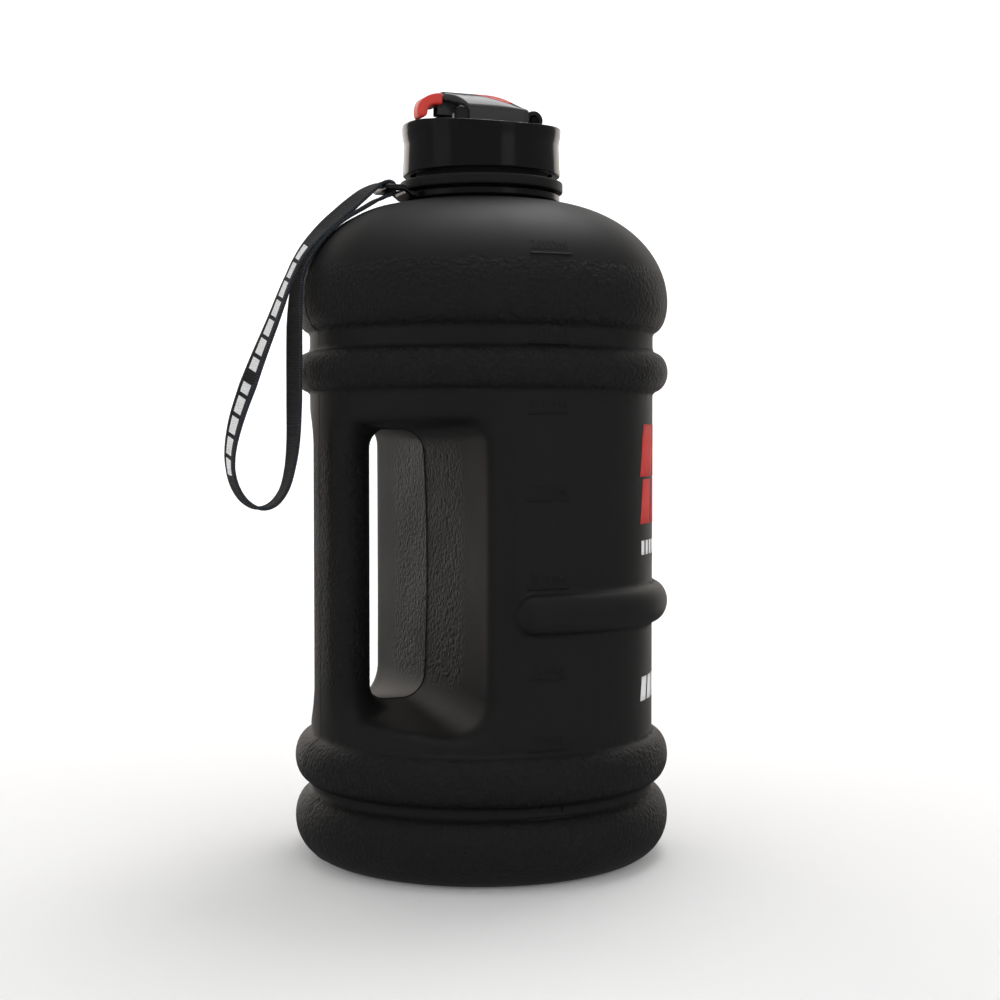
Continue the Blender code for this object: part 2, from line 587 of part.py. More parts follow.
def make_thumb_tab(mat):
    """Hooked tab at the lid's free end, narrower towards its tip."""
    side = [(x * MM, z * MM) for x, z in TAB_SIDE]
    half_plan = [(x * MM, y * MM) for x, y in TAB_PLAN]
    plan = half_plan + [(x, -y) for x, y in reversed(half_plan)]
    tab = finish("thumb_tab", prism_y(side, -TAB_HALF - 1 * MM, TAB_HALF + 1 * MM), mat)
    shape = finish("tab_plan_tool", prism_z(plan, LID_LOW_Z, LID_CROWN_Z + 3 * MM))
    combine(tab, shape, "INTERSECT")
    return tab


def make_lid_seal(mat):
    """Soft plug under the lid that closes the spout."""
    low, seat, high = SPOUT_TOP_Z - 2.2 * MM, SPOUT_TOP_Z + GAP, LID_EDGE_Z - GAP
    outline = [(0.0, low), (SEAL_PLUG_R[0], low), (SEAL_PLUG_R[1], seat),
               (SEAL_R, seat), (SEAL_R, high), (0.0, high)]
    bm = turned(outline, 28)
    bmesh.ops.translate(bm, verts=bm.verts, vec=(SPOUT_X, 0, 0))
    return finish("lid_seal", bm, mat)


def main():
    clear_scene()
    soft_black = material("soft_black", (0.012, 0.012, 0.012), 0.62)
    gloss_black = material("gloss_black", (0.006, 0.006, 0.006), 0.22)
    lid_black = material("lid_black", (0.02, 0.02, 0.02), 0.45)
    webbing = material("webbing", (0.02, 0.024, 0.03), 0.85)
    red = material("red_plastic", (0.55, 0.045, 0.035), 0.42)
    silicone = material("silicone", (0.10, 0.10, 0.10), 0.6)
    steel = material("pin_steel", (0.55, 0.55, 0.55), 0.3, 1.0)
    make_jug_body(soft_black)
    make_carrier_ring(gloss_black)
    make_wrist_strap(webbing)
    make_screw_cap(gloss_black)
    make_cap_gasket(silicone)
    make_hinge_pin(steel)
    make_flip_lid(lid_black)
    make_lid_inlay(red)
    make_thumb_tab(red)
    make_lid_seal(silicone)


main()
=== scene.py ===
"""Finished look of a large water jug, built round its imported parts.

The jug stands on the floor with its axis on Z. The printed front faces +X, the hand grip
is at -X and the grip's through hole runs along Y.
"""

import math

import bmesh
import bpy
import numpy as np
from bpy.props import FloatProperty, FloatVectorProperty, IntProperty, PointerProperty
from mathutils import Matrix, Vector


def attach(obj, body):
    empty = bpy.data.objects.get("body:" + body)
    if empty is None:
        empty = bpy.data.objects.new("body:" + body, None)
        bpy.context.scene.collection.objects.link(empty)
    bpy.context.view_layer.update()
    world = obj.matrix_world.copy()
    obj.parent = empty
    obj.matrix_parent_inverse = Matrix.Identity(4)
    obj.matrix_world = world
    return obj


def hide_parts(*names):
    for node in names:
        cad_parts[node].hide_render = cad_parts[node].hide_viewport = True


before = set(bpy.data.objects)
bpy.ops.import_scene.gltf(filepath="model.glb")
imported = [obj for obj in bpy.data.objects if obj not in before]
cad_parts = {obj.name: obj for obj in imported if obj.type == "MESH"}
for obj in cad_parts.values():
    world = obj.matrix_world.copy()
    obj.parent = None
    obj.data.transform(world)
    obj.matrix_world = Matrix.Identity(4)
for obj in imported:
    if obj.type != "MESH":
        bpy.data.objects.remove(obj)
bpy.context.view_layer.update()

bl_info = {
    "name": "Large Water Jug",
    "version": (1, 0, 0),
    "blender": (4, 5, 0),
    "location": "3D View > Sidebar > Water Jug",
    "description": "Makes the finished surfaces of a large water jug round its packed parts",
    "category": "Add Mesh",
}

MM = 0.001

# --- sizes shared with the solid parts, in metres -------------------------------------
WALL_R = 61.8 * MM                # straight wall
RIB_R = 67.5 * MM                 # crest of the ribs
FOOT_R = 55.0 * MM
FOOT_INNER_R = 49.0 * MM
PUSH_UP = 3.4 * MM
HEEL_Z = 14.0 * MM
LOW_GROOVE_Z = 23.6 * MM
LOW_RIB_Z = 35.9 * MM
LOW_RIB_HALF = 8.5 * MM
MID_RIB_Z = 91.4 * MM
MID_RIB_HALF = 7.0 * MM
MID_RIB_REACH = 101.0
TOP_RIB_Z = 173.3 * MM
TOP_RIB_HALF = 7.1 * MM
DOME_FOOT_Z = 187.4 * MM
DOME_Z = 198.1 * MM
DOME_R = 67.0 * MM
DOME_MID_R = 22.8 * MM
DOME_RISE = 35.5 * MM
NECK_FOOT_Z = 231.8 * MM
NECK_R = 23.5 * MM
NECK_BORE_R = 21.0 * MM
NECK_TOP_Z = 254.6 * MM
BEAD_R = 29.3 * MM
BEAD_Z = (237.7 * MM, 241.4 * MM)
STUB_R = 25.3 * MM
THREAD_LEAD = 6.0 * MM
WALL_THICK = 2.2 * MM
RING_R = 27.0 * MM                # middle of the carrier ring's section
RING_HALF = (1.2 * MM, 1.5 * MM)  # half its width and half its height
RING_Z = 235.5 * MM
SLOT_X = -33.3 * MM               # middle of the lug's slot
SLOT_HALF = (2.1 * MM, 5.8 * MM)
COLUMN_X = -61.0 * MM             # back of the grip column
COLUMN_DEPTH = 16.3 * MM
COLUMN_HALF = 14.5 * MM
HOLE_X = (-21.6 * MM, -20.6 * MM)     # tank side of the grip hole, at the middle and at the wall
HOLE_LOW = (57.1 * MM, 49.0 * MM)
HOLE_HIGH = (153.1 * MM, 155.3 * MM)
HOLE_MOUTH_Y = 59.0 * MM
HOLE_CORNER = 8.3 * MM
HOLE_MIDDLE_Z = 104.0 * MM
HOLE_EDGE = 7.5 * MM              # rounding where the wall turns into the grip hole
COLUMN_EDGE = 7.0 * MM            # rounding where the hole's floor meets the column
GRIP_TURN = math.radians(3.0)     # how far the grip stands round from the lid and the strap
CAP_CEILING_Z = 256.7 * MM
CAP_DECK_Z = 258.1 * MM
CAP_RIM_Z = 259.0 * MM
CAP_LIP_Z = 243.7 * MM
CAP_INNER_R = 26.8 * MM           # inside of the rim above the deck
SPOUT_X = 1.5 * MM
SPOUT_R = 8.0 * MM
SPOUT_BORE_R = 6.3 * MM
EAR_Y = 7.5 * MM                  # middle of each hinge ear
POST_X = -12.2 * MM
POST_Y = 11.1 * MM
POST_TOP_Z = 264.0 * MM
POST_R = 2.6 * MM
PIN = (17.0 * MM, 263.9 * MM)
LID_EDGE_Z = 267.0 * MM
LID_CROWN_Z = 273.1 * MM
LID_LOW_Z = 259.2 * MM
LID_HALF = 11.7 * MM
LID_X = (-16.4 * MM, -9.2 * MM, 14.6 * MM)    # neck's end, start of the side walls, hinge end
ARM_HALF = 6.2 * MM
ARM_LOW_Z = 269.4 * MM
ARM_SAG = 3.8 * MM

# The strap's middle line in the plane Y = 0, as (x, z) in millimetres, from the lug down
# the outer strand and back up the inner one.
STRAP_ROUTE = [
    (-34.3, 237.6), (-34.6, 239.2), (-36.2, 239.9), (-39.2, 239.2), (-43.8, 236.2),
    (-50.1, 230.9), (-57.1, 224.8), (-63.1, 218.7), (-67.5, 212.8), (-70.6, 206.8),
    (-73.2, 200.8), (-77.3, 190.2), (-81.9, 179.0), (-86.2, 167.8), (-90.1, 156.6),
    (-92.3, 146.6), (-92.4, 139.2), (-90.8, 133.0), (-87.4, 128.0), (-82.6, 125.5),
    (-77.6, 126.8), (-73.6, 131.8), (-71.4, 139.4), (-70.2, 149.0), (-69.8, 162.0),
    (-69.7, 176.0), (-69.6, 189.0), (-69.0, 199.4), (-67.9, 206.2), (-65.0, 212.4),
    (-58.7, 220.6), (-52.3, 226.0), (-44.7, 230.6), (-39.4, 233.8), (-36.2, 235.0),
    (-34.6, 236.0),
]
# How far the webbing is turned about Z at each point of the route, in degrees
STRAP_TURNS = [0, 0, 0, 8, 22, 28, 24, 14, 6, 3, 5, 10, 16, 22, 16, 7, 1, 0,
               0, 0, 0, 0, 3, 9, 14, 15, 14, 9, 4, 2, 0, 0, 0, 0, 0, 0]
STRAP_THICK = 1.2 * MM
STRAP_PRINT = (40 * MM, 126 * MM)     # stretch of the outer strand that carries the print

# Heights of the graduation lines over the base, in millimetres, and what they read
LEVELS = [(210.3, 2000), (181.1, 1750), (157.9, 1500), (129.4, 1250),
          (100.1, 1000), (69.6, 750), (46.1, 500), (23.5, 250)]
GROOVE_LEVEL = 1750               # this line lies in the groove under the shoulder,
GROOVE_LIFT = 0.5 * MM            # whose rounding lifts the wall by this much
SEAM_SINK = 0.16 * MM             # how far the outer seam lies below the wall, so that a trace is left
FIRST_MOULD_LINE = math.radians(-74)

# The front print's span round the wall, and its rows from the top: name, whether it is red,
# number of blocks, share of the pitch that is printed, height and level in millimetres, lean
PRINT_START = math.radians(-46.5)
PRINT_SPAN = math.radians(93.0)
INK_THICK = 0.12 * MM
PRINT_ROWS = [("red_row_upper", True, 6, 0.80, 18.2, 145.5, 0.16),
              ("red_row_lower", True, 8, 0.80, 15.6, 127.7, 0.16),
              ("white_rule", False, 22, 0.62, 5.0, 111.5, 0.0),
              ("white_row", False, 14, 0.74, 8.4, 62.0, 0.16)]

# The camera's small tilt and turn away from the jug's axis, and the studio's light
CAMERA_TILT = math.radians(2.1)
CAMERA_PAN = math.radians(0.606)
ROOM_LIGHT = 0.14
RIM_TINT = (1.0, 0.93, 0.86)      # colour of the light that catches the jug's edges


# --- colours and nodes ------------------------------------------------------------------
def linear(hex_code):
    """Linear RGB of an sRGB hex colour."""
    channels = [int(hex_code[i:i + 2], 16) / 255 for i in (0, 2, 4)]
    return tuple(c / 12.92 if c <= 0.04045 else ((c + 0.055) / 1.055) ** 2.4 for c in channels)


def add_node(tree, kind, inputs=None, **settings):
    """Add a node with its settings, and set each input to a value or link it to a socket or a node."""
    node = tree.nodes.new(kind)
    for name, value in settings.items():
        setattr(node, name, value)
    for socket, value in (inputs or {}).items():
        if isinstance(value, bpy.types.Node):
            value = value.outputs[0]
        if isinstance(value, bpy.types.NodeSocket):
            tree.links.new(value, node.inputs[socket])
        else:
            node.inputs[socket].default_value = value
    return node


def new_material(name, base, roughness, **sockets):
    """Material with one Principled shader, whose constants sit on its own sockets."""
    mat = bpy.data.materials.new(name)
    mat.use_nodes = True
    tree = mat.node_tree
    shader = tree.nodes["Principled BSDF"]
    shader.inputs["Base Color"].default_value = (*base, 1.0)
    shader.inputs["Roughness"].default_value = roughness
    for socket, value in sockets.items():
        shader.inputs[socket.replace("_", " ")].default_value = value
    return mat, tree, shader


# --- fields: distances whose nought is a surface -------------------------------------------
def smooth_max(a, b, width):
    """Larger of two distances, with the edge between them rounded."""
    blend = np.maximum(width - np.abs(a - b), 0.0) / width
    return np.maximum(a, b) + blend ** 2 * width / 4


def smooth_min(a, b, width):
    """Smaller of two distances, with the corner between them filled."""
    return -smooth_max(-a, -b, width)


def arc(centre, radii, start, end, steps):
    """Points of an elliptic arc in a plane, from start to end degrees."""
    angles = np.radians(np.linspace(start, end, steps + 1))
    return [(centre[0] + radii[0] * math.cos(t), centre[1] + radii[1] * math.sin(t)) for t in angles]


def soften(outline, radius, steps=4):
    """Round every corner of a closed outline."""
    points = [Vector(p) for p in outline]
    soft = []
    for before, corner, after in zip(points[-1:] + points[:-1], points, points[1:] + points[:1]):
        reach = min(radius, (before - corner).length * 0.45, (after - corner).length * 0.45)
        start = corner + (before - corner).normalized() * reach
        end = corner + (after - corner).normalized() * reach
        for i in range(steps + 1):
            t = i / steps
            soft.append(tuple((1 - t) ** 2 * start + 2 * t * (1 - t) * corner + t ** 2 * end))
    return soft


def outline_distance(outline, u, v):
    """Signed distance to a closed outline, negative inside it."""
    best = np.full(u.shape, np.inf)
    inside = np.zeros(u.shape, bool)
    for (ax, ay), (bx, by) in zip(outline, outline[1:] + outline[:1]):
        ex, ey = bx - ax, by - ay
        along = np.clip(((u - ax) * ex + (v - ay) * ey) / max(ex * ex + ey * ey, 1e-18), 0.0, 1.0)
        best = np.minimum(best, (u - ax - along * ex) ** 2 + (v - ay - along * ey) ** 2)
        if ay != by:
            inside ^= ((ay > v) != (by > v)) & (u < ax + ex * (v - ay) / ey)
    return np.where(inside, -1.0, 1.0) * np.sqrt(best)


def distance_table(outline, step, margin=4 * MM):
    """Function that reads the signed distance to an outline from a table made once."""
    corners = np.array(outline)
    low = corners.min(0) - margin
    counts = np.ceil((corners.max(0) + margin - low) / step).astype(int) + 1
    axes = [low[i] + step * np.arange(counts[i]) for i in (0, 1)]
    table = outline_distance(outline, *np.meshgrid(*axes, indexing="ij"))

    def read(u, v):
        a = np.clip((u - low[0]) / step, 0, counts[0] - 1.001)
        b = np.clip((v - low[1]) / step, 0, counts[1] - 1.001)
        i, j = a.astype(int), b.astype(int)
        s, t = a - i, b - j
        near = table[i, j] * (1 - s) + table[i + 1, j] * s
        far = table[i, j + 1] * (1 - s) + table[i + 1, j + 1] * s
        return near * (1 - t) + far * t

    return read


def extruded(flat, across, rounding):
    """Distance to an extruded shape with rounded edges, from its two distances."""
    a, b = flat + rounding, across + rounding
    return np.hypot(np.maximum(a, 0), np.maximum(b, 0)) + np.minimum(np.maximum(a, b), 0) - rounding


def slope(field, points, step=0.05 * MM):
    """Gradient of a field at each point."""
    columns = []
    for axis in range(3):
        shift = np.zeros(3)
        shift[axis] = step
        columns.append((field(*(points + shift).T) - field(*(points - shift).T)) / (2 * step))
    return np.stack(columns, 1)


def settle(field, points, reach, rounds):
    """Move points onto the surface, by no more than reach in a round."""
    for _ in range(rounds):
        gradient = slope(field, points)
        move = field(*points.T) / np.maximum((gradient ** 2).sum(1), 0.05)
        points = points - np.clip(move, -reach, reach)[:, None] * gradient
    return points


def surface_net(field, low, high, cell):
    """Points and quads of the surface of a field, one point in each grid cell it crosses."""
    counts = [int(math.ceil((h - l) / cell)) + 1 for l, h in zip(low, high)]
    axes = [l + cell * np.arange(n) for l, n in zip(low, counts)]
    values = field(*np.meshgrid(*axes, indexing="ij"))
    inside = values < 0
    offsets = [(i, j, k) for i in (0, 1) for j in (0, 1) for k in (0, 1)]
    size = np.array(inside.shape) - 1
    full = sum(inside[i:i + size[0], j:j + size[1], k:k + size[2]].astype(int) for i, j, k in offsets)
    active = (full > 0) & (full < 8)
    cells = np.argwhere(active)
    index = np.full(active.shape, -1)
    index[active] = np.arange(len(cells))
    at_corner = [values[tuple((cells + np.array(o)).T)] for o in offsets]
    total, hits = np.zeros((len(cells), 3)), np.zeros(len(cells))
    for a, offset in enumerate(offsets):
        for axis in range(3):
            if offset[axis]:
                continue
            step = np.eye(3)[axis]
            b = offsets.index(tuple(int(n) for n in np.array(offset) + step))
            crossed = (at_corner[a] < 0) != (at_corner[b] < 0)
            share = np.where(crossed, at_corner[a] / np.where(crossed, at_corner[a] - at_corner[b], 1), 0)
            total += (np.array(offset) + share[:, None] * step) * crossed[:, None]
            hits += crossed
    points = np.array(low) + cell * (cells + total / hits[:, None])
    quads = []
    for axis in range(3):
        b, c = (axis + 1) % 3, (axis + 2) % 3
        trim = [slice(1, -1)] * 3
        first, second = list(trim), list(trim)
        first[axis], second[axis] = slice(0, -1), slice(1, None)
        solid, air = inside[tuple(first)], inside[tuple(second)]
        edges = np.argwhere(solid != air)
        start = edges + np.array([0 if n == axis else 1 for n in range(3)])
        ring = []
        for db, dc in ((-1, -1), (0, -1), (0, 0), (-1, 0)):
            shift = np.zeros(3, int)
            shift[b], shift[c] = db, dc
            ring.append(index[tuple((start + shift).T)])
        ring = np.stack(ring, 1)
        outward = solid[tuple(edges.T)]
        quads.append(np.where(outward[:, None], ring, ring[:, ::-1]))
    return points, np.concatenate(quads)


def relax(points, quads, rounds, field, reach):
    """Even out a net's points along its surface."""
    ends = np.concatenate([quads[:, [i, (i + 1) % 4]] for i in range(4)])
    for _ in range(rounds):
        total, count = np.zeros_like(points), np.zeros(len(points))
        np.add.at(total, ends[:, 0], points[ends[:, 1]])
        np.add.at(count, ends[:, 0], 1)
        points = settle(field, 0.5 * points + 0.5 * total / count[:, None], reach, 1)
    return points


def new_object(name, mesh, mat):
    """Link a mesh as an object at the origin, with one material."""
    obj = bpy.data.objects.new(name, mesh)
    bpy.context.scene.collection.objects.link(obj)
    if mat is not None:
        mesh.materials.clear()
        mesh.materials.append(mat)
    return obj


def skin(name, field, low, high, cell, mat, true_normals=True):
    """Closed mesh of a field's surface, shaded by the field's own slope."""
    points, quads = surface_net(field, low, high, cell)
    points = relax(points, quads, 3, field, cell / 2)
    points = settle(field, points, cell / 2, 3)
    mesh = bpy.data.meshes.new(name)
    mesh.from_pydata(points.tolist(), [], quads.tolist())
    mesh.shade_smooth()
    if true_normals:
        normals = slope(field, points)
        normals /= np.linalg.norm(normals, axis=1)[:, None]
        mesh.normals_split_custom_set_from_vertices(normals.tolist())
    return new_object(name, mesh, mat)


def lathe(name, outline, steps, mat):
    """Closed turned ring from a closed (radius, height) outline that doesn't touch the axis."""
    count = len(outline)
    turns = [math.tau * i / steps for i in range(steps)]
    verts = [(r * math.cos(t), r * math.sin(t), z) for t in turns for r, z in outline]
    faces = []
    for i in range(steps):
        j = (i + 1) % steps
        for k in range(count):
            m = (k + 1) % count
            faces.append((i * count + k, j * count + k, j * count + m, i * count + m))
    mesh = bpy.data.meshes.new(name)
    mesh.from_pydata(verts, [], faces)
    tidy_normals(mesh)
    mesh.set_sharp_from_angle(angle=math.radians(40))
    return new_object(name, mesh, mat)


def tidy_normals(mesh):
    """Merge doubles and point every face outwards."""
    bm = bmesh.new()
    bm.from_mesh(mesh)
    bmesh.ops.remove_doubles(bm, verts=bm.verts, dist=1e-6)
    bmesh.ops.recalc_face_normals(bm, faces=bm.faces)
    bm.to_mesh(mesh)
    bm.free()
    mesh.shade_smooth()


def baked(obj, name, mat=None):
    """Replace an object with the plain mesh that its modifiers give."""
    graph = bpy.context.evaluated_depsgraph_get()
    mesh = bpy.data.meshes.new_from_object(obj.evaluated_get(graph))
    bpy.data.objects.remove(obj, do_unlink=True)
    mesh.name = name
    return new_object(name, mesh, mat)


# --- shape of the bottle -------------------------------------------------------------------
def bottle_outline():
    """Outside of the bottle from the middle of the base to the dome's top, as (radius, height)."""
    outline = [(0.0, PUSH_UP), (FOOT_INNER_R - 12 * MM, PUSH_UP - 0.6 * MM), (FOOT_INNER_R, 0.0)]
    outline += arc((FOOT_R, HEEL_Z), (RIB_R - FOOT_R, HEEL_Z), -90, 0, 24)
    outline += arc((WALL_R, HEEL_Z), (RIB_R - WALL_R, LOW_GROOVE_Z - HEEL_Z), 5, 90, 16)
    outline += arc((WALL_R, LOW_RIB_Z), (RIB_R - WALL_R, LOW_RIB_HALF), -90, 90, 24)
    outline += arc((WALL_R, TOP_RIB_Z), (RIB_R - 0.3 * MM - WALL_R, TOP_RIB_HALF), -90, 90, 24)
    outline += arc((WALL_R, DOME_Z), (DOME_R - WALL_R, DOME_Z - DOME_FOOT_Z), -90, -5, 16)
    outline += arc((DOME_MID_R, DOME_Z), (DOME_R - DOME_MID_R, DOME_RISE), 0, 90, 40)
    return outline + [(0.0, DOME_Z + DOME_RISE)]


def even_outline(outline, step, blur):
    """Same outline with evenly spaced points and slightly softened corners."""
    points = np.array(outline)
    length = np.concatenate([[0], np.cumsum(np.linalg.norm(np.diff(points, axis=0), axis=1))])
    places = np.linspace(0, length[-1], int(length[-1] / step))
    even = np.stack([np.interp(places, length, points[:, i]) for i in (0, 1)], 1)
    reach = int(3 * blur / step)
    weights = np.exp(-0.5 * (np.arange(-reach, reach + 1) * step / blur) ** 2)
    weights /= weights.sum()
    padded = np.pad(even, ((reach, reach), (0, 0)), mode="edge")
    soft = np.stack([np.convolve(padded[:, i], weights, mode="valid") for i in (0, 1)], 1)
    soft[:reach], soft[-reach:] = even[:reach], even[-reach:]
    return [tuple(p) for p in soft]


BOTTLE = even_outline(bottle_outline(), 0.8 * MM, 0.5 * MM)


def bottle_radius(z):
    """Radius of the bottle's outside at a height over the foot."""
    side = np.array([p for p in BOTTLE if p[0] > FOOT_R])
    return float(np.interp(z, side[:, 1], side[:, 0]))


def column_distance(x, y):
    """Distance to the grip column's rounded section, negative inside the column."""
    u = np.maximum((x - COLUMN_X) / COLUMN_DEPTH, 1e-6)
    v = np.maximum(np.abs(y) / COLUMN_HALF, 1e-6)
    power = 2.4
    reach = (u ** power + v ** power) ** (1 / power)
    steep = reach ** (1 - power) * np.hypot(u ** (power - 1) / COLUMN_DEPTH, v ** (power - 1) / COLUMN_HALF)
    front = (reach - 1) / np.maximum(steep, 1.0)
    back = (np.abs(y) - COLUMN_HALF - (COLUMN_X - x) / 4) * 0.97
    return np.where(x > COLUMN_X, front, back)


def grip_turned(x, y, turn=GRIP_TURN):
    """Plan coordinates in the grip's own direction, which is turned a little about the axis."""
    return x * math.cos(turn) + y * math.sin(turn), y * math.cos(turn) - x * math.sin(turn)


def hole_distance(x, y, z):
    """Distance to the grip hole with the pocket on each side, negative in the air."""
    x, y = grip_turned(x, y)
    flare = np.minimum(np.abs(y), HOLE_MOUTH_Y) / HOLE_MOUTH_Y
    bow = 1.5 * MM * np.minimum((z - HOLE_MIDDLE_Z) / (47 * MM), 1.0) ** 2
    right = HOLE_X[0] + 0.2 * MM - bow * (1 - flare) + (HOLE_X[1] - HOLE_X[0]) * flare
    low = HOLE_LOW[0] + (HOLE_LOW[1] - HOLE_LOW[0]) * flare
    high = HOLE_HIGH[0] + (HOLE_HIGH[1] - HOLE_HIGH[0]) * flare
    level = np.abs(z - (low + high) / 2) - (high - low) / 2
    corner = HOLE_CORNER + np.where(z < HOLE_MIDDLE_Z, 5 * MM, 0.0) * flare
    slot = extruded(x - right, level, corner)
    return extruded(slot, -column_distance(x, y), COLUMN_EDGE)


def middle_rib_distance(x, y, z):
    """Distance to the rib round the front half, with rounded ends."""
    end = math.radians(MID_RIB_REACH) - MID_RIB_HALF / WALL_R
    beyond = np.maximum(np.abs(np.arctan2(y, x)) - end, 0.0) * WALL_R
    low = np.hypot(beyond, z - MID_RIB_Z) / MID_RIB_HALF
    rise = RIB_R - 0.2 * MM - WALL_R
    up = np.maximum(np.hypot(x, y) - WALL_R, 0.0) / rise
    reach = np.maximum(np.hypot(low, up), 1e-6)
    steep = np.hypot(low / MID_RIB_HALF, up / rise) / reach
    return (reach - 1) / np.maximum(steep, 1.0)


BOTTLE_TABLE = distance_table(BOTTLE, 0.5 * MM)


def bottle_field(x, y, z):
    """Outside of the bottle: turned body, middle rib, and the grip cut through it."""
    turned = BOTTLE_TABLE(np.hypot(x, y), z)
    solid = smooth_min(turned, middle_rib_distance(x, y, z), 1.2 * MM)
    return smooth_max(solid, -hole_distance(x, y, z), HOLE_EDGE)


def hollow_field(x, y, z):
    """Inside of the bottle: the outside moved in by the wall, and open up the neck."""
    inner = smooth_max(BOTTLE_TABLE(np.hypot(x, y), z), -hole_distance(x, y, z), HOLE_EDGE) + WALL_THICK
    mouth = extruded(np.hypot(x, y) - NECK_BORE_R, np.abs(z - 240 * MM) - 24 * MM, 1 * MM)
    return smooth_min(inner, mouth, 3 * MM)


def grain_amount(points):
    """Share of the leather-like grain at each point: 0 on smooth zones, 1 on grained ones."""
    x, y, z = points.T

    def band(low, high, edge):
        return np.clip((z - low) / edge + 0.5, 0, 1) * np.clip((high - z) / edge + 0.5, 0, 1)

    amount = band(187 * MM, 208.5 * MM, 1.6 * MM)
    amount = np.maximum(amount, band(166.8 * MM, 179.8 * MM, 1.5 * MM))
    amount = np.maximum(amount, band(28.2 * MM, 43.6 * MM, 1.5 * MM))
    amount = np.maximum(amount, band(6 * MM, 23.6 * MM, 3 * MM) * 0.8)
    grip = band(64 * MM, 147 * MM, 8 * MM) * np.clip((-16.5 * MM - x) / (3 * MM), 0, 1)
    near_middle = np.clip((36 * MM - np.abs(y)) / (12 * MM), 0, 1)
    inner = near_middle * np.clip((56 * MM - np.hypot(x, y)) / (3 * MM), 0, 1)
    column = np.clip((-38 * MM - x) / (3 * MM), 0, 1) * np.clip((24 * MM - np.abs(y)) / (4 * MM), 0, 1)
    return np.maximum(amount, grip * np.maximum(inner, column))


# --- settings --------------------------------------------------------------------------------
class JugBodySettings(bpy.types.PropertyGroup):
    """Surface of the moulded bottle."""
    cell: FloatProperty(name="Mesh size", description="Spacing of the bottle's mesh",
                        default=1.45 * MM, min=1.0 * MM, subtype="DISTANCE", unit="LENGTH")
    colour: FloatVectorProperty(name="Coating", description="Colour of the soft-touch coating",
                                default=linear("151414"), size=3, min=0, max=1, subtype="COLOR")
    grain_size: FloatProperty(name="Grain size", description="Width of one pebble of the leather grain",
                              default=1.35 * MM, subtype="DISTANCE", unit="LENGTH")
    grain_depth: FloatProperty(name="Grain depth", description="Height of the leather grain",
                               default=0.6 * MM, subtype="DISTANCE", unit="LENGTH")
    mark_angle: FloatProperty(name="Scale place", description="Place of the level marks round the wall",
                              default=math.radians(-90), subtype="ANGLE", unit="ROTATION")
    mark_width: FloatProperty(name="Mark width", description="Length of a level mark along the wall",
                              default=14.6 * MM, subtype="DISTANCE", unit="LENGTH")
    print_colour: FloatVectorProperty(name="Print", description="Colour of the printed blocks",
                                      default=linear("c3241c"), size=3, min=0, max=1, subtype="COLOR")


class JugStrapSettings(bpy.types.PropertyGroup):
    """Webbing of the wrist strap."""
    width: FloatProperty(name="Width", description="Width of the webbing",
                         default=10.0 * MM, subtype="DISTANCE", unit="LENGTH")
    steps: IntProperty(name="Steps", description="Sections between two points of the route",
                       default=8, min=2, max=20)
    colour: FloatVectorProperty(name="Yarn", description="Colour of the yarn",
                                default=linear("0f1013"), size=3, min=0, max=1, subtype="COLOR")


class JugCapSettings(bpy.types.PropertyGroup):
    """Screw cap, flip lid and tab."""
    cell: FloatProperty(name="Mesh size", description="Spacing of the cap's mesh",
                        default=0.45 * MM, min=0.3 * MM, subtype="DISTANCE", unit="LENGTH")
    colour: FloatVectorProperty(name="Cap", description="Colour of the glossy cap",
                                default=linear("0b0b0b"), size=3, min=0, max=1, subtype="COLOR")
    lid_colour: FloatVectorProperty(name="Lid", description="Colour of the satin lid",
                                    default=linear("39393b"), size=3, min=0, max=1, subtype="COLOR")
    accent: FloatVectorProperty(name="Accent", description="Colour of the tab and the inlay",
                                default=linear("d23a30"), size=3, min=0, max=1, subtype="COLOR")
    mould_lines: IntProperty(name="Mould lines", description="Fine upright lines round the cap",
                             default=4, min=1, max=12)


class JugStageSettings(bpy.types.PropertyGroup):
    """Camera and light."""
    lens: FloatProperty(name="Lens", description="Focal length in millimetres on a 36 mm sensor",
                        default=63.0, min=20, max=200)
    distance: FloatProperty(name="Distance", description="Camera's distance from the jug's axis",
                            default=635.5 * MM, subtype="DISTANCE", unit="LENGTH")
    height: FloatProperty(name="Height", description="Camera's height over the floor",
                          default=150.6 * MM, subtype="DISTANCE", unit="LENGTH")
    azimuth: FloatProperty(name="Azimuth", description="Side that the camera stands on",
                           default=math.radians(-21), subtype="ANGLE", unit="ROTATION")
    floor_colour: FloatVectorProperty(name="Floor", description="Colour of the floor and backdrop",
                                      default=linear("f2f2f2"), size=3, min=0, max=1, subtype="COLOR")


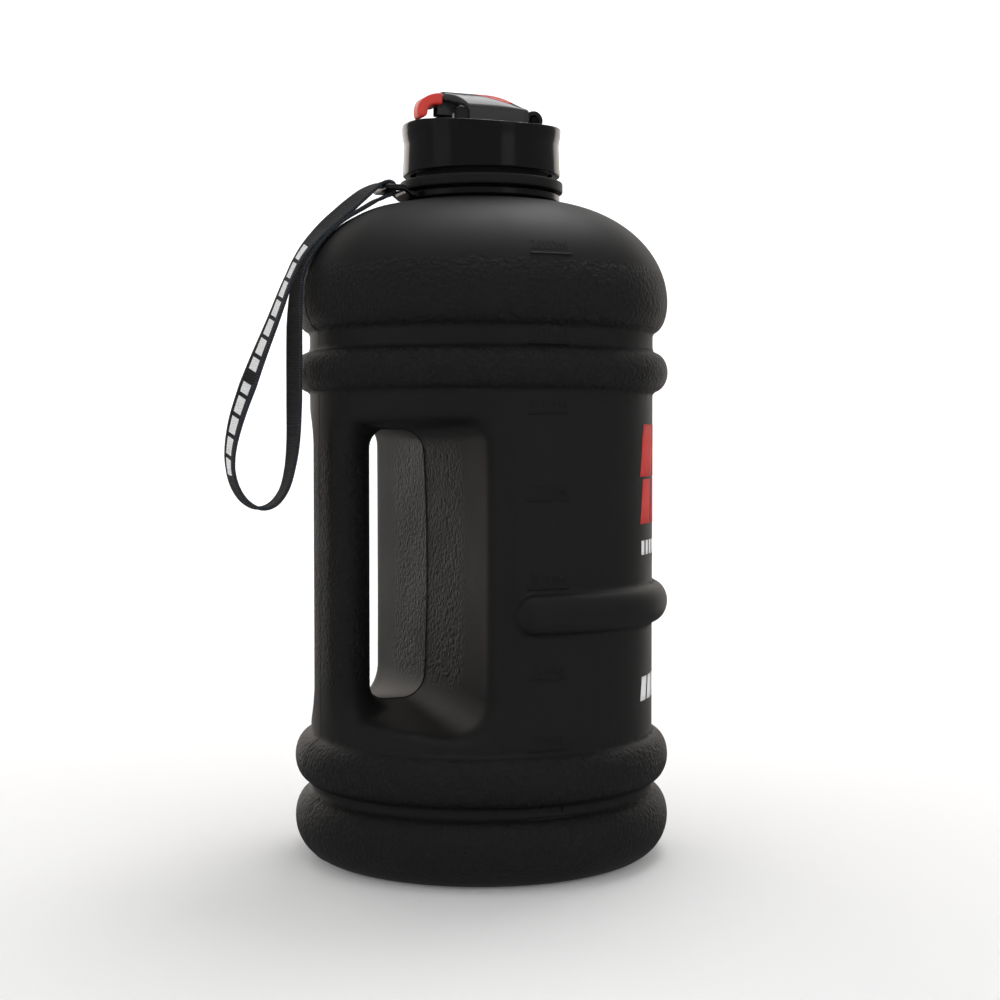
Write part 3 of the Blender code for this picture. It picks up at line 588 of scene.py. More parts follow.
# --- materials ----------------------------------------------------------------------------------
def soft_touch_coating(settings):
    """Soft-touch lacquer on blow-moulded plastic: near black, dull, with a broad weak highlight.

    The mould's leather grain shows where the mesh's grain attribute is above nought, as
    rounded pebbles with creases between them. Everywhere else the lacquer's own fine
    orange peel breaks up the highlight.
    """
    mat, tree, shader = new_material("soft_touch_lacquer", settings.colour, 0.56, IOR=1.5)
    place = add_node(tree, "ShaderNodeTexCoord").outputs["Object"]
    grain = add_node(tree, "ShaderNodeAttribute", attribute_name="grain").outputs["Fac"]
    sway = add_node(tree, "ShaderNodeTexNoise", {"Vector": place, "Scale": 0.35 / settings.grain_size,
                                                 "Detail": 2.0}).outputs["Color"]
    bent = add_node(tree, "ShaderNodeMix", {"Factor": 0.0022, 6: place, 7: sway},
                    data_type="RGBA", blend_type="ADD").outputs[2]
    pebbles = add_node(tree, "ShaderNodeTexVoronoi", {"Vector": bent, "Scale": 1 / settings.grain_size},
                       feature="SMOOTH_F1").outputs["Distance"]
    creases = add_node(tree, "ShaderNodeTexNoise", {"Vector": bent, "Scale": 0.9 / settings.grain_size,
                                                    "Detail": 3.0, "Roughness": 0.6, "Distortion": 0.6})
    relief = add_node(tree, "ShaderNodeMath", {0: creases, 1: pebbles}, operation="SUBTRACT")
    depth = add_node(tree, "ShaderNodeMath", {0: relief, 1: grain}, operation="MULTIPLY")
    coarse = add_node(tree, "ShaderNodeBump", {"Height": depth, "Strength": 1.0,
                                               "Distance": settings.grain_depth})
    # orange peel of 0.8 mm, coarser than the real lacquer's so that it shows
    peel = add_node(tree, "ShaderNodeTexNoise", {"Vector": place, "Scale": 1250.0, "Detail": 2.0})
    fine = add_node(tree, "ShaderNodeBump", {"Height": peel, "Strength": 0.35,
                                             "Distance": 0.02 * MM, "Normal": coarse})
    tree.links.new(fine.outputs["Normal"], shader.inputs["Normal"])
    # handling leaves faint shinier and duller patches a few centimetres wide
    smudge = add_node(tree, "ShaderNodeTexNoise", {"Vector": place, "Scale": 28.0, "Detail": 4.0})
    dull = add_node(tree, "ShaderNodeMapRange", {"Value": smudge, "From Min": 0.3,
                                                 "From Max": 0.7, "To Min": 0.5, "To Max": 0.6})
    tree.links.new(dull.outputs["Result"], shader.inputs["Roughness"])
    tint = add_node(tree, "ShaderNodeMix", {"Factor": smudge,
                                            6: (*[0.88 * c for c in settings.colour], 1.0),
                                            7: (*[1.12 * c for c in settings.colour], 1.0)},
                    data_type="RGBA").outputs[2]
    tree.links.new(tint, shader.inputs["Base Color"])
    return mat


def moulded_gloss(name, colour, roughness, streak=0.03):
    """Polished injection-moulded plastic: deep colour, sharp reflections, faint flow marks."""
    mat, tree, shader = new_material(name, colour, roughness, IOR=1.5)
    place = add_node(tree, "ShaderNodeTexCoord").outputs["Object"]
    stretched = add_node(tree, "ShaderNodeMapping", {"Vector": place, "Scale": (260.0, 260.0, 60.0)})
    flow = add_node(tree, "ShaderNodeTexNoise", {"Vector": stretched, "Scale": 1.0, "Detail": 3.0})
    rough = add_node(tree, "ShaderNodeMapRange", {
        "Value": flow, "From Min": 0.3, "From Max": 0.7,
        "To Min": roughness - streak, "To Max": roughness + streak})
    tree.links.new(rough.outputs["Result"], shader.inputs["Roughness"])
    wave = add_node(tree, "ShaderNodeTexNoise", {"Vector": place, "Scale": 320.0, "Detail": 1.0})
    bump = add_node(tree, "ShaderNodeBump", {"Height": wave, "Strength": 0.25,
                                             "Distance": 0.03 * MM})
    tree.links.new(bump.outputs["Normal"], shader.inputs["Normal"])
    return mat


def moulded_satin(name, colour, roughness, spark=0.03 * MM):
    """Spark-eroded mould finish: an even fine grit that turns highlights soft and pale."""
    mat, tree, shader = new_material(name, colour, roughness, IOR=1.5)
    place = add_node(tree, "ShaderNodeTexCoord").outputs["Object"]
    # grit of 0.25 mm, a few times the real one, so that it shows
    grit = add_node(tree, "ShaderNodeTexNoise", {"Vector": place, "Scale": 4000.0, "Detail": 2.0})
    bump = add_node(tree, "ShaderNodeBump", {"Height": grit, "Strength": 0.4, "Distance": spark})
    tree.links.new(bump.outputs["Normal"], shader.inputs["Normal"])
    wear = add_node(tree, "ShaderNodeTexNoise", {"Vector": place, "Scale": 220.0, "Detail": 3.0})
    rough = add_node(tree, "ShaderNodeMapRange", {"Value": wear, "From Min": 0.3, "From Max": 0.7,
                                                  "To Min": roughness - 0.05, "To Max": roughness + 0.05})
    tree.links.new(rough.outputs["Result"], shader.inputs["Roughness"])
    return mat


def webbing_weave(settings):
    """Woven polyester webbing: cross ribs every 0.9 mm, a painted bluish highlight along both edges and a
    white block print.

    It reads the strap's own map: u runs along the strap in metres, v across it from 0 to 1.
    """
    mat, tree, shader = new_material("woven_webbing", settings.colour, 0.78, IOR=1.5,
                                     Sheen_Weight=0.05, Sheen_Roughness=0.4)
    uv = add_node(tree, "ShaderNodeUVMap", uv_map="strap").outputs[0]
    along, across, _ = add_node(tree, "ShaderNodeSeparateXYZ", {0: uv}).outputs
    face = add_node(tree, "ShaderNodeAttribute", attribute_name="print_face").outputs["Fac"]
    fuzz = add_node(tree, "ShaderNodeTexNoise", {"Vector": uv, "Scale": 900.0, "Detail": 3.0})
    # each row is a value's name, how it is worked out, and what from: names stand for earlier values
    rows = [
        ("rib_phase", "MULTIPLY", along, math.tau / (0.9 * MM)),
        ("rib", "SINE", "rib_phase"),
        ("yarn_phase", "MULTIPLY", across, math.tau * 14),
        ("yarn", "SINE", "yarn_phase"),
        ("yarn_height", "MULTIPLY", "yarn", 0.4),
        ("weave", "MULTIPLY_ADD", "rib", 0.6, "yarn_height"),
        ("height", "MULTIPLY_ADD", fuzz, 0.8, "weave"),
        ("off_middle", "SUBTRACT", across, 0.5),
        ("from_middle", "ABSOLUTE", "off_middle"),
        # painted highlight: a bluish band along both edges of the webbing, broken by the ribs
        ("edge", "GREATER_THAN", "from_middle", 0.41),
        ("edge_rib", "MULTIPLY_ADD", "rib", 0.4, 0.6),
        ("painted_edge_highlight", "MULTIPLY", "edge", "edge_rib"),
        # slanted blocks 7.2 mm apart, with one wider gap half way
        ("lean", "MULTIPLY_ADD", across, -2.2 * MM, along),
        ("shifted", "SUBTRACT", "lean", STRAP_PRINT[0]),
        ("pitches", "DIVIDE", "shifted", 7.2 * MM),
        ("in_pitch", "FRACT", "pitches"),
        ("block", "LESS_THAN", "in_pitch", 0.80),
        ("to_gap", "SUBTRACT", "shifted", 50.0 * MM),
        ("off_gap", "ABSOLUTE", "to_gap"),
        ("clear_of_gap", "GREATER_THAN", "off_gap", 2.4 * MM),
        ("begun", "GREATER_THAN", "shifted", 0.0),
        ("not_ended", "LESS_THAN", along, STRAP_PRINT[1]),
        ("middle", "LESS_THAN", "from_middle", 0.27),
        ("outside", "GREATER_THAN", face, 0.5),
        ("rib_wear", "MULTIPLY_ADD", "rib", -0.03, fuzz),
        ("unworn", "GREATER_THAN", "rib_wear", 0.36),
        ("ink_1", "MULTIPLY", "block", "clear_of_gap"),
        ("ink_2", "MULTIPLY", "begun", "not_ended"),
        ("ink_3", "MULTIPLY", "middle", "outside"),
        ("ink_4", "MULTIPLY", "ink_1", "ink_2"),
        ("ink_5", "MULTIPLY", "ink_3", "unworn"),
        ("ink", "MULTIPLY", "ink_4", "ink_5"),
    ]
    known = {}
    for label, operation, *given in rows:
        values = {i: known[v] if isinstance(v, str) else v for i, v in enumerate(given)}
        known[label] = add_node(tree, "ShaderNodeMath", values, operation=operation)
    bump = add_node(tree, "ShaderNodeBump", {"Height": known["height"], "Strength": 0.9,
                                             "Distance": 0.16 * MM})
    tree.links.new(bump.outputs["Normal"], shader.inputs["Normal"])
    # painted highlight: the bluish band along the edges is mixed into the yarn's colour
    lit = add_node(tree, "ShaderNodeMix", {"Factor": known["painted_edge_highlight"], 6: (*settings.colour, 1.0),
                                           7: (*linear("343b45"), 1.0)}, data_type="RGBA").outputs[2]
    paint = add_node(tree, "ShaderNodeMix", {"Factor": known["ink"], 6: lit, 7: (*linear("e9e9ea"), 1.0)},
                     data_type="RGBA").outputs[2]
    tree.links.new(paint, shader.inputs["Base Color"])
    return mat


def backdrop_paint_and_glow(settings):
    """Matt backdrop paint with painted light: it glows, faintly near the jug and more further from it, in
    place of studio light falling on the sweep.
    """
    mat, tree, shader = new_material("matt_glowing_backdrop", settings.floor_colour, 0.9, IOR=1.3)
    place = add_node(tree, "ShaderNodeTexCoord").outputs["Object"]
    away = add_node(tree, "ShaderNodeVectorMath", {0: place}, operation="LENGTH").outputs["Value"]
    glow = add_node(tree, "ShaderNodeMapRange", {"Value": away, "From Min": 0.1, "From Max": 1.3,
                                                 "To Min": 0.06, "To Max": 0.42})
    # painted light: the backdrop glows white, more the further it lies from the jug
    shader.inputs["Emission Color"].default_value = (1.0, 1.0, 1.0, 1.0)
    tree.links.new(glow.outputs["Result"], shader.inputs["Emission Strength"])
    return mat


# --- Geometry Nodes -----------------------------------------------------------------------------
def node_group(name, sizes, counts=()):
    """Geometry node tree with a geometry input and output and named inputs for its sizes and counts."""
    tree = bpy.data.node_groups.new(name, "GeometryNodeTree")
    inputs = [("Geometry", "Geometry")] + [(label, "Float") for label in sizes]
    for label, kind in inputs + [(label, "Int") for label in counts]:
        tree.interface.new_socket(label, in_out="INPUT", socket_type="NodeSocket" + kind)
    tree.interface.new_socket("Geometry", in_out="OUTPUT", socket_type="NodeSocketGeometry")
    return tree, add_node(tree, "NodeGroupInput").outputs


def close_group(tree, geometry, mat):
    """End a tree in real geometry with its material."""
    real = add_node(tree, "GeometryNodeRealizeInstances", {"Geometry": geometry})
    painted = add_node(tree, "GeometryNodeSetMaterial", {"Geometry": real, "Material": mat})
    smooth = add_node(tree, "GeometryNodeSetShadeSmooth", {"Geometry": painted})
    add_node(tree, "NodeGroupOutput", {0: smooth})
    return tree


def points_mesh(name, points, **attributes):
    """Mesh of loose points, with a value or a direction on each."""
    mesh = bpy.data.meshes.new(name)
    mesh.from_pydata(points, [], [])
    for label, values in attributes.items():
        vectors = isinstance(values[0], (tuple, list))
        kind, slot = ("FLOAT_VECTOR", "vector") if vectors else ("FLOAT", "value")
        layer = mesh.attributes.new(label, kind, "POINT")
        layer.data.foreach_set(slot, np.array(values, float).ravel())
    return mesh


def grown(name, tree, values, start=None):
    """Plain mesh object that a node tree makes from a start mesh, or from one point at the origin."""
    obj = new_object(name + "_start", start or points_mesh(name + "_point", [(0, 0, 0)]), None)
    mod = obj.modifiers.new("Grow", "NODES")
    mod.node_group = tree
    sockets = {item.name: item.identifier for item in tree.interface.items_tree if item.in_out == "INPUT"}
    for label, value in values.items():
        mod[sockets[label]] = value
    obj.update_tag()
    bpy.context.view_layer.update()
    return baked(obj, name)


def wrap_round(tree, geometry, radius, start_angle):
    """Bend flat geometry round the jug: x runs along the wall and y stands out of it."""
    flat = add_node(tree, "ShaderNodeSeparateXYZ", {0: add_node(tree, "GeometryNodeInputPosition")})
    arc_angle = add_node(tree, "ShaderNodeMath", {0: flat.outputs["X"], 1: radius}, operation="DIVIDE")
    angle = add_node(tree, "ShaderNodeMath", {0: arc_angle, 1: start_angle}, operation="ADD")
    out = add_node(tree, "ShaderNodeMath", {0: flat.outputs["Y"], 1: radius}, operation="ADD")
    way = [add_node(tree, "ShaderNodeMath", {0: angle}, operation=kind) for kind in ("COSINE", "SINE")]
    x, y = [add_node(tree, "ShaderNodeMath", {0: out, 1: part}, operation="MULTIPLY") for part in way]
    place = add_node(tree, "ShaderNodeCombineXYZ", {"X": x, "Y": y, "Z": flat.outputs["Z"]})
    return add_node(tree, "GeometryNodeSetPosition", {"Geometry": geometry, "Position": place})


def bead_along(tree, path, radius, sides):
    """Round bead along a curve, closed at its ends."""
    ring = add_node(tree, "GeometryNodeCurvePrimitiveCircle", {"Resolution": sides, "Radius": radius})
    return add_node(tree, "GeometryNodeCurveToMesh", {"Curve": path, "Profile Curve": ring,
                                                      "Fill Caps": True})


def short_line(tree, length):
    """Straight line along X with its middle at the origin."""
    half = add_node(tree, "ShaderNodeMath", {0: length, 1: 0.5}, operation="MULTIPLY")
    back = add_node(tree, "ShaderNodeMath", {0: half, 1: -1.0}, operation="MULTIPLY")
    start, end = [add_node(tree, "ShaderNodeCombineXYZ", {"X": x}) for x in (back, half)]
    return add_node(tree, "GeometryNodeCurvePrimitiveLine", {"Start": start, "End": end})


def level_mark_tree(mat):
    """One rounded line at each point, bent round the wall at that point's radius."""
    tree, given = node_group("level_marks", ("Width", "Thickness", "Angle"))
    line = add_node(tree, "GeometryNodeResampleCurve", {"Curve": short_line(tree, given["Width"]),
                                                        "Count": 17})
    bar = bead_along(tree, line, given["Thickness"], 12)
    marks = add_node(tree, "GeometryNodeInstanceOnPoints", {"Points": given["Geometry"], "Instance": bar})
    real = add_node(tree, "GeometryNodeRealizeInstances", {"Geometry": marks})
    radius = add_node(tree, "GeometryNodeInputNamedAttribute", {"Name": "radius"}, data_type="FLOAT")
    return close_group(tree, wrap_round(tree, real, radius, given["Angle"]), mat)


def seam_tree(mat):
    """Fine bead swept along a polyline of edges."""
    tree, given = node_group("parting_seam", ("Bead",))
    path = add_node(tree, "GeometryNodeMeshToCurve", {"Mesh": given["Geometry"]})
    return close_group(tree, bead_along(tree, path, given["Bead"], 8), mat)


def print_row_tree(mat):
    """Row of slanted blocks in one thin layer of ink, bent round the wall."""
    tree, given = node_group("print_row", ("Pitch", "Share", "Height", "Lean", "Level", "Angle", "Radius"),
                             counts=("Count",))
    width = add_node(tree, "ShaderNodeMath", {0: given["Pitch"], 1: given["Share"]}, operation="MULTIPLY")
    half = add_node(tree, "ShaderNodeMath", {0: width, 1: 0.5}, operation="MULTIPLY")
    size = add_node(tree, "ShaderNodeCombineXYZ", {"X": width, "Y": INK_THICK, "Z": given["Height"]})
    block = add_node(tree, "GeometryNodeMeshCube", {"Size": size, "Vertices X": 10, "Vertices Z": 4})
    here = add_node(tree, "ShaderNodeSeparateXYZ", {0: add_node(tree, "GeometryNodeInputPosition")})
    shift = add_node(tree, "ShaderNodeMath", {0: here.outputs["Z"], 1: given["Lean"]}, operation="MULTIPLY")
    lean = add_node(tree, "ShaderNodeCombineXYZ", {"X": shift})
    slanted = add_node(tree, "GeometryNodeSetPosition", {"Geometry": block, "Offset": lean})
    start = add_node(tree, "ShaderNodeCombineXYZ", {"X": half, "Z": given["Level"]})
    pitch = add_node(tree, "ShaderNodeCombineXYZ", {"X": given["Pitch"]})
    row = add_node(tree, "GeometryNodeMeshLine", {"Count": given["Count"], "Start Location": start,
                                                  "Offset": pitch})
    blocks = add_node(tree, "GeometryNodeInstanceOnPoints", {"Points": row, "Instance": slanted})
    real = add_node(tree, "GeometryNodeRealizeInstances", {"Geometry": blocks})
    return close_group(tree, wrap_round(tree, real, given["Radius"], given["Angle"]), mat)


def thread_tree(mat):
    """Right-handed thread: a spiral swept with a rounded ridge."""
    tree, given = node_group("thread", ("Turns", "Radius", "Rise", "Level", "Ridge"))
    spiral = add_node(tree, "GeometryNodeCurveSpiral", {
        "Resolution": 96, "Rotations": given["Turns"], "Start Radius": given["Radius"],
        "End Radius": given["Radius"], "Height": given["Rise"], "Reverse": False})
    lifted = add_node(tree, "ShaderNodeCombineXYZ", {"Z": given["Level"]})
    placed = add_node(tree, "GeometryNodeSetPosition", {"Geometry": spiral, "Offset": lifted})
    return close_group(tree, bead_along(tree, placed, given["Ridge"], 12), mat)


def mould_line_tree(mat):
    """Fine upright witness lines of the mould, spaced evenly round the cap."""
    tree, given = node_group("mould_lines", ("Radius", "Low", "High"), counts=("Count",))
    low, high = [add_node(tree, "ShaderNodeCombineXYZ", {"X": given["Radius"], "Z": given[end]})
                 for end in ("Low", "High")]
    line = add_node(tree, "GeometryNodeCurvePrimitiveLine", {"Start": low, "End": high})
    points = add_node(tree, "GeometryNodePoints", {"Count": given["Count"]})
    number = add_node(tree, "GeometryNodeInputIndex")
    part = add_node(tree, "ShaderNodeMath", {0: math.tau, 1: given["Count"]}, operation="DIVIDE")
    angle = add_node(tree, "ShaderNodeMath", {0: number, 1: part, 2: FIRST_MOULD_LINE},
                     operation="MULTIPLY_ADD")
    turn = add_node(tree, "ShaderNodeCombineXYZ", {"Z": angle})
    bead = bead_along(tree, line, 0.16 * MM, 8)
    lines = add_node(tree, "GeometryNodeInstanceOnPoints", {"Points": points, "Instance": bead,
                                                            "Rotation": turn})
    return close_group(tree, lines, mat)


def stitch_tree(mat):
    """Short thread loops lying across each point, turned to the point's own direction."""
    tree, given = node_group("stitches", ("Length", "Thread"))
    bead = bead_along(tree, short_line(tree, given["Length"]), given["Thread"], 6)
    way = add_node(tree, "GeometryNodeInputNamedAttribute", {"Name": "way"}, data_type="FLOAT_VECTOR")
    turn = add_node(tree, "FunctionNodeAlignRotationToVector", {"Vector": way}, axis="X")
    loops = add_node(tree, "GeometryNodeInstanceOnPoints", {"Points": given["Geometry"], "Instance": bead,
                                                            "Rotation": turn})
    return close_group(tree, loops, mat)


# --- operators ------------------------------------------------------------------------------------
class JUG_OT_stage(bpy.types.Operator):
    """Set up the camera, the pale floor and the soft studio light"""
    bl_idname = "jug.stage"
    bl_label = "Stage"

    def execute(self, context):
        settings = context.scene.jug_stage
        data = bpy.data.cameras.new("camera")
        data.lens, data.sensor_width = settings.lens, 36.0
        data.clip_start, data.clip_end = 0.01, 20.0
        camera = bpy.data.objects.new("camera", data)
        context.scene.collection.objects.link(camera)
        turn = settings.azimuth
        side = Vector((math.sin(turn), -math.cos(turn), 0.0))
        camera.location = side * settings.distance + Vector((0, 0, settings.height))
        camera.rotation_euler = (math.radians(90) - CAMERA_TILT, 0.0, turn - CAMERA_PAN)
        context.scene.camera = camera
        context.scene.view_settings.view_transform = "Standard"

        bend = arc((1.5, 0.6), (0.6, 0.6), -90, 0, 12)
        sweep = [(0.0, 0.0), (0.5, 0.0), (1.0, 0.0)] + bend + [(2.1, 1.9)]
        bm = bmesh.new()
        verts = [bm.verts.new((r, 0.0, z)) for r, z in sweep]
        edges = [bm.edges.new(pair) for pair in zip(verts, verts[1:])]
        bmesh.ops.spin(bm, geom=verts + edges, cent=(0, 0, 0), axis=(0, 0, 1), angle=math.tau, steps=64)
        bmesh.ops.remove_doubles(bm, verts=bm.verts, dist=1e-5)
        bmesh.ops.recalc_face_normals(bm, faces=bm.faces)
        mesh = bpy.data.meshes.new("studio_sweep")
        bm.to_mesh(mesh)
        bm.free()
        mesh.shade_smooth()
        floor = new_object("studio_sweep", mesh, backdrop_paint_and_glow(settings))
        floor.visible_glossy = False

        world = bpy.data.worlds.new("studio")
        world.use_nodes = True
        world.node_tree.nodes["Background"].inputs["Color"].default_value = (1.0, 1.0, 1.0, 1.0)
        world.node_tree.nodes["Background"].inputs["Strength"].default_value = ROOM_LIGHT
        context.scene.world = world

        right = Vector((-side.y, side.x, 0.0))
        boxes = [("overhead", Vector((0, 0, 1.45)) - side * 0.1, (1.3, 1.3), 4.0),
                 ("top_back", Vector((0.45, 0.40, 1.4)), (0.7, 0.7), 5.5),
                 ("left_box", side * 0.6 - right * 1.04 + Vector((0, 0, 0.4)), (0.6, 0.8), 0.16),
                 ("right_box", side * 0.92 + right * 0.76 + Vector((0, 0, 0.45)), (0.4, 0.8), 0.22),
                 ("left_rim", -side * 1.1 - right * 0.62 + Vector((0, 0, 0.35)), (0.7, 1.1), 3.4),
                 ("right_rim", -side * 1.1 + right * 0.62 + Vector((0, 0, 0.35)), (0.7, 1.1), 2.7)]
        for name, place, size, power in boxes:
            light = bpy.data.lights.new(name, "AREA")
            light.shape = "RECTANGLE"
            light.size, light.size_y = size
            light.energy = power
            light.color = RIM_TINT if "rim" in name else (1.0, 1.0, 1.0)
            obj = bpy.data.objects.new(name, light)
            obj.location = place
            obj.rotation_euler = (place - Vector((0, 0, 0.14))).to_track_quat("Z", "Y").to_euler()
            obj.visible_camera = False
            context.scene.collection.objects.link(obj)
        return {"FINISHED"}


def strap_line(steps):
    """Evenly read points of the strap's closed middle line."""
    route = [Vector((x * MM, 0.0, z * MM)) for x, z in STRAP_ROUTE]
    count = len(route)
    line = []
    for i in range(count):
        a, b, c, d = (route[(i + k) % count] for k in (-1, 0, 1, 2))
        for k in range(steps):
            t = k / steps
            bend = (2 * a - 5 * b + 4 * c - d) * t ** 2 + (3 * b - a - 3 * c + d) * t ** 3
            line.append(b + 0.5 * ((c - a) * t + bend))
    return line


def strap_axes(line, i):
    """Directions along the webbing, across it and out of its face at one point of the line."""
    along = (line[(i + 1) % len(line)] - line[i - 1]).normalized()
    place = i * len(STRAP_TURNS) / len(line)
    turns = STRAP_TURNS + STRAP_TURNS[:1]
    turn = math.radians(float(np.interp(place, range(len(turns)), turns)))
    across = Vector((math.sin(turn), -math.cos(turn), 0.0))
    across = (across - along * across.dot(along)).normalized()
    return along, across, along.cross(across).normalized()


class JUG_OT_wrist_strap(bpy.types.Operator):
    """Make the webbing loop that hangs from the carrier ring's lug"""
    bl_idname = "jug.wrist_strap"
    bl_label = "Wrist strap"

    def execute(self, context):
        settings = context.scene.jug_strap
        line = strap_line(settings.steps)
        half, thick = settings.width / 2, STRAP_THICK / 2
        # the selvedge is a little thicker than the middle of the webbing
        section = [(-1.0, 0.0), (-0.985, 0.7), (-0.93, 1.0), (-0.84, 0.86), (0.0, 0.8), (0.84, 0.86),
                   (0.93, 1.0), (0.985, 0.7), (1.0, 0.0), (0.985, -0.7), (0.93, -1.0), (0.84, -0.86),
                   (0.0, -0.8), (-0.84, -0.86), (-0.93, -1.0), (-0.985, -0.7)]
        size = len(section)
        length = [0.0]
        for a, b in zip(line, line[1:] + line[:1]):
            length.append(length[-1] + (b - a).length)
        verts = []
        for i, point in enumerate(line):
            _, across, out = strap_axes(line, i)
            verts += [tuple(point + across * half * a + out * thick * b) for a, b in section]
        faces, coords, front = [], [], []
        for i in range(len(line)):
            j = (i + 1) % len(line)
            for k in range(size):
                m = (k + 1) % size
                faces.append((i * size + k, i * size + m, j * size + m, j * size + k))
                low, high = ((section[n][0] + 1) / 2 for n in (k, m))
                coords += [(length[i], low), (length[i], high), (length[i + 1], high), (length[i + 1], low)]
                front.append(1.0 if section[k][1] + section[m][1] > 0 else 0.0)
        mesh = bpy.data.meshes.new("webbing_strap")
        mesh.from_pydata(verts, [], faces)
        layer = mesh.uv_layers.new(name="strap")
        layer.data.foreach_set("uv", np.array(coords).ravel())
        mark = mesh.attributes.new("print_face", "FLOAT", "FACE")
        mark.data.foreach_set("value", front)
        mesh.flip_normals()
        mesh.shade_smooth()
        strap = new_object("webbing_strap", mesh, webbing_weave(settings))
        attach(strap, "carrier")
        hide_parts("wrist_strap")
        return {"FINISHED"}


class JUG_OT_strap_stitches(bpy.types.Operator):
    """Sew the bar tack that closes the webbing loop near the lug"""
    bl_idname = "jug.strap_stitches"
    bl_label = "Strap stitches"

    def execute(self, context):
        settings = context.scene.jug_strap
        line = strap_line(settings.steps)
        thread, tree_node, _ = new_material("polyester_thread", linear("30343a"), 0.6, Sheen_Weight=0.2)
        twist = add_node(tree_node, "ShaderNodeTexNoise", {"Scale": 2500.0, "Detail": 2.0,
                         "Vector": add_node(tree_node, "ShaderNodeTexCoord").outputs["Object"]})
        bump = add_node(tree_node, "ShaderNodeBump", {"Height": twist, "Strength": 0.5,
                                                      "Distance": 0.05 * MM})
        tree_node.links.new(bump.outputs["Normal"], tree_node.nodes["Principled BSDF"].inputs["Normal"])
        places, ways = [], []
        for i in range(36, 47):
            along, across, out = strap_axes(line, i)
            for k in range(-9, 10):
                places.append(tuple(line[i] + across * k * 0.47 * MM - out * 0.56 * MM))
                ways.append(tuple(along * (1 if k % 2 else 0.6) + across * (0.5 if i % 2 else -0.5)))
        start = points_mesh("stitch_places", places, way=ways)
        stitches = grown("bar_tack", stitch_tree(thread), {"Length": 0.9 * MM, "Thread": 0.13 * MM}, start)
        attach(stitches, "carrier")
        return {"FINISHED"}


class JUG_OT_bottle(bpy.types.Operator):
    """Make the blow-moulded bottle with its ribs and hand grip"""
    bl_idname = "jug.bottle"
    bl_label = "Bottle"

    def execute(self, context):
        settings = context.scene.jug_body
        coating = soft_touch_coating(settings)
        edge = RIB_R + 3 * MM
        body = skin("bottle", bottle_field, (-edge, -edge, -3 * MM), (edge, edge, 238 * MM),
                    settings.cell, coating, true_normals=False)
        hollow = skin("bottle_hollow", hollow_field, (-edge, -edge, -3 * MM), (edge, edge, 268 * MM),
                      3.2 * MM, None, true_normals=False)
        cut = body.modifiers.new("Hollow", "BOOLEAN")
        cut.operation, cut.solver, cut.object = "DIFFERENCE", "MANIFOLD", hollow
        body = baked(body, "bottle", coating)
        bpy.data.objects.remove(hollow, do_unlink=True)
        mesh = body.data
        points = np.zeros(len(mesh.vertices) * 3)
        mesh.vertices.foreach_get("co", points)
        layer = mesh.attributes.new("grain", "FLOAT", "POINT")
        layer.data.foreach_set("value", grain_amount(points.reshape(-1, 3)))
        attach(body, "jug")
        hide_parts("jug_body")

        outline = [(NECK_BORE_R, NECK_FOOT_Z), (STUB_R, NECK_FOOT_Z), (STUB_R, BEAD_Z[0]),
                   (BEAD_R, BEAD_Z[0]), (BEAD_R, BEAD_Z[1]), (NECK_R, BEAD_Z[1]),
                   (NECK_R, NECK_TOP_Z), (NECK_BORE_R, NECK_TOP_Z)]
        neck = lathe("bottle_neck", soften(outline, 0.7 * MM), 144, coating)
        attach(neck, "jug")
        thread = grown("neck_thread", thread_tree(coating),
                       {"Turns": 1.25, "Radius": NECK_R + 0.3 * MM, "Rise": 1.25 * THREAD_LEAD,
                        "Level": 245.2 * MM, "Ridge": 0.85 * MM})
        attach(thread, "jug")
        return {"FINISHED"}


class JUG_OT_parting_seam(bpy.types.Operator):
    """Run the mould's parting seam up the front and back and round the grip hole"""
    bl_idname = "jug.parting_seam"
    bl_label = "Parting seam"

    def execute(self, context):
        coating = bpy.data.materials["soft_touch_lacquer"]
        side = [(r, z) for r, z in BOTTLE if r > FOOT_R + 2 * MM or (z > DOME_Z and r > STUB_R)]
        corner, middle = 8.0 * MM, 0.5 * (COLUMN_X + COLUMN_DEPTH + HOLE_X[0])
        half = 0.5 * (HOLE_X[0] - COLUMN_X - COLUMN_DEPTH) - corner
        loop = []
        for x, z, start in ((half, HOLE_HIGH[0] - corner, 0), (-half, HOLE_HIGH[0] - corner, 90),
                            (-half, HOLE_LOW[0] + corner, 180), (half, HOLE_LOW[0] + corner, 270)):
            loop += arc((middle + x, z), (corner, corner), start, start + 90, 8)
        steps = 8
        loop = [(a[0] + (b[0] - a[0]) * k / steps, a[1] + (b[1] - a[1]) * k / steps)
                for a, b in zip(loop, loop[1:] + loop[:1]) for k in range(steps)]
        points, edges = [], []
        for path, closed in ((side, False), ([(-r, z) for r, z in side], False), (loop, True)):
            first = len(points)
            start = np.array([(*grip_turned(x, 0.0, -GRIP_TURN), z) for x, z in path])
            start = settle(bottle_field, start, 1 * MM, 6)
            if not closed:
                start[:, :2] *= 1 - SEAM_SINK / np.abs(start[:, :1])
            points += start.tolist()
            edges += [(first + k, first + k + 1) for k in range(len(path) - 1)]
            if closed:
                edges.append((len(points) - 1, first))
        mesh = bpy.data.meshes.new("seam_path")
        mesh.from_pydata(points, edges, [])
        seam = grown("parting_seam", seam_tree(coating), {"Bead": 0.22 * MM}, mesh)
        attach(seam, "jug")
        return {"FINISHED"}


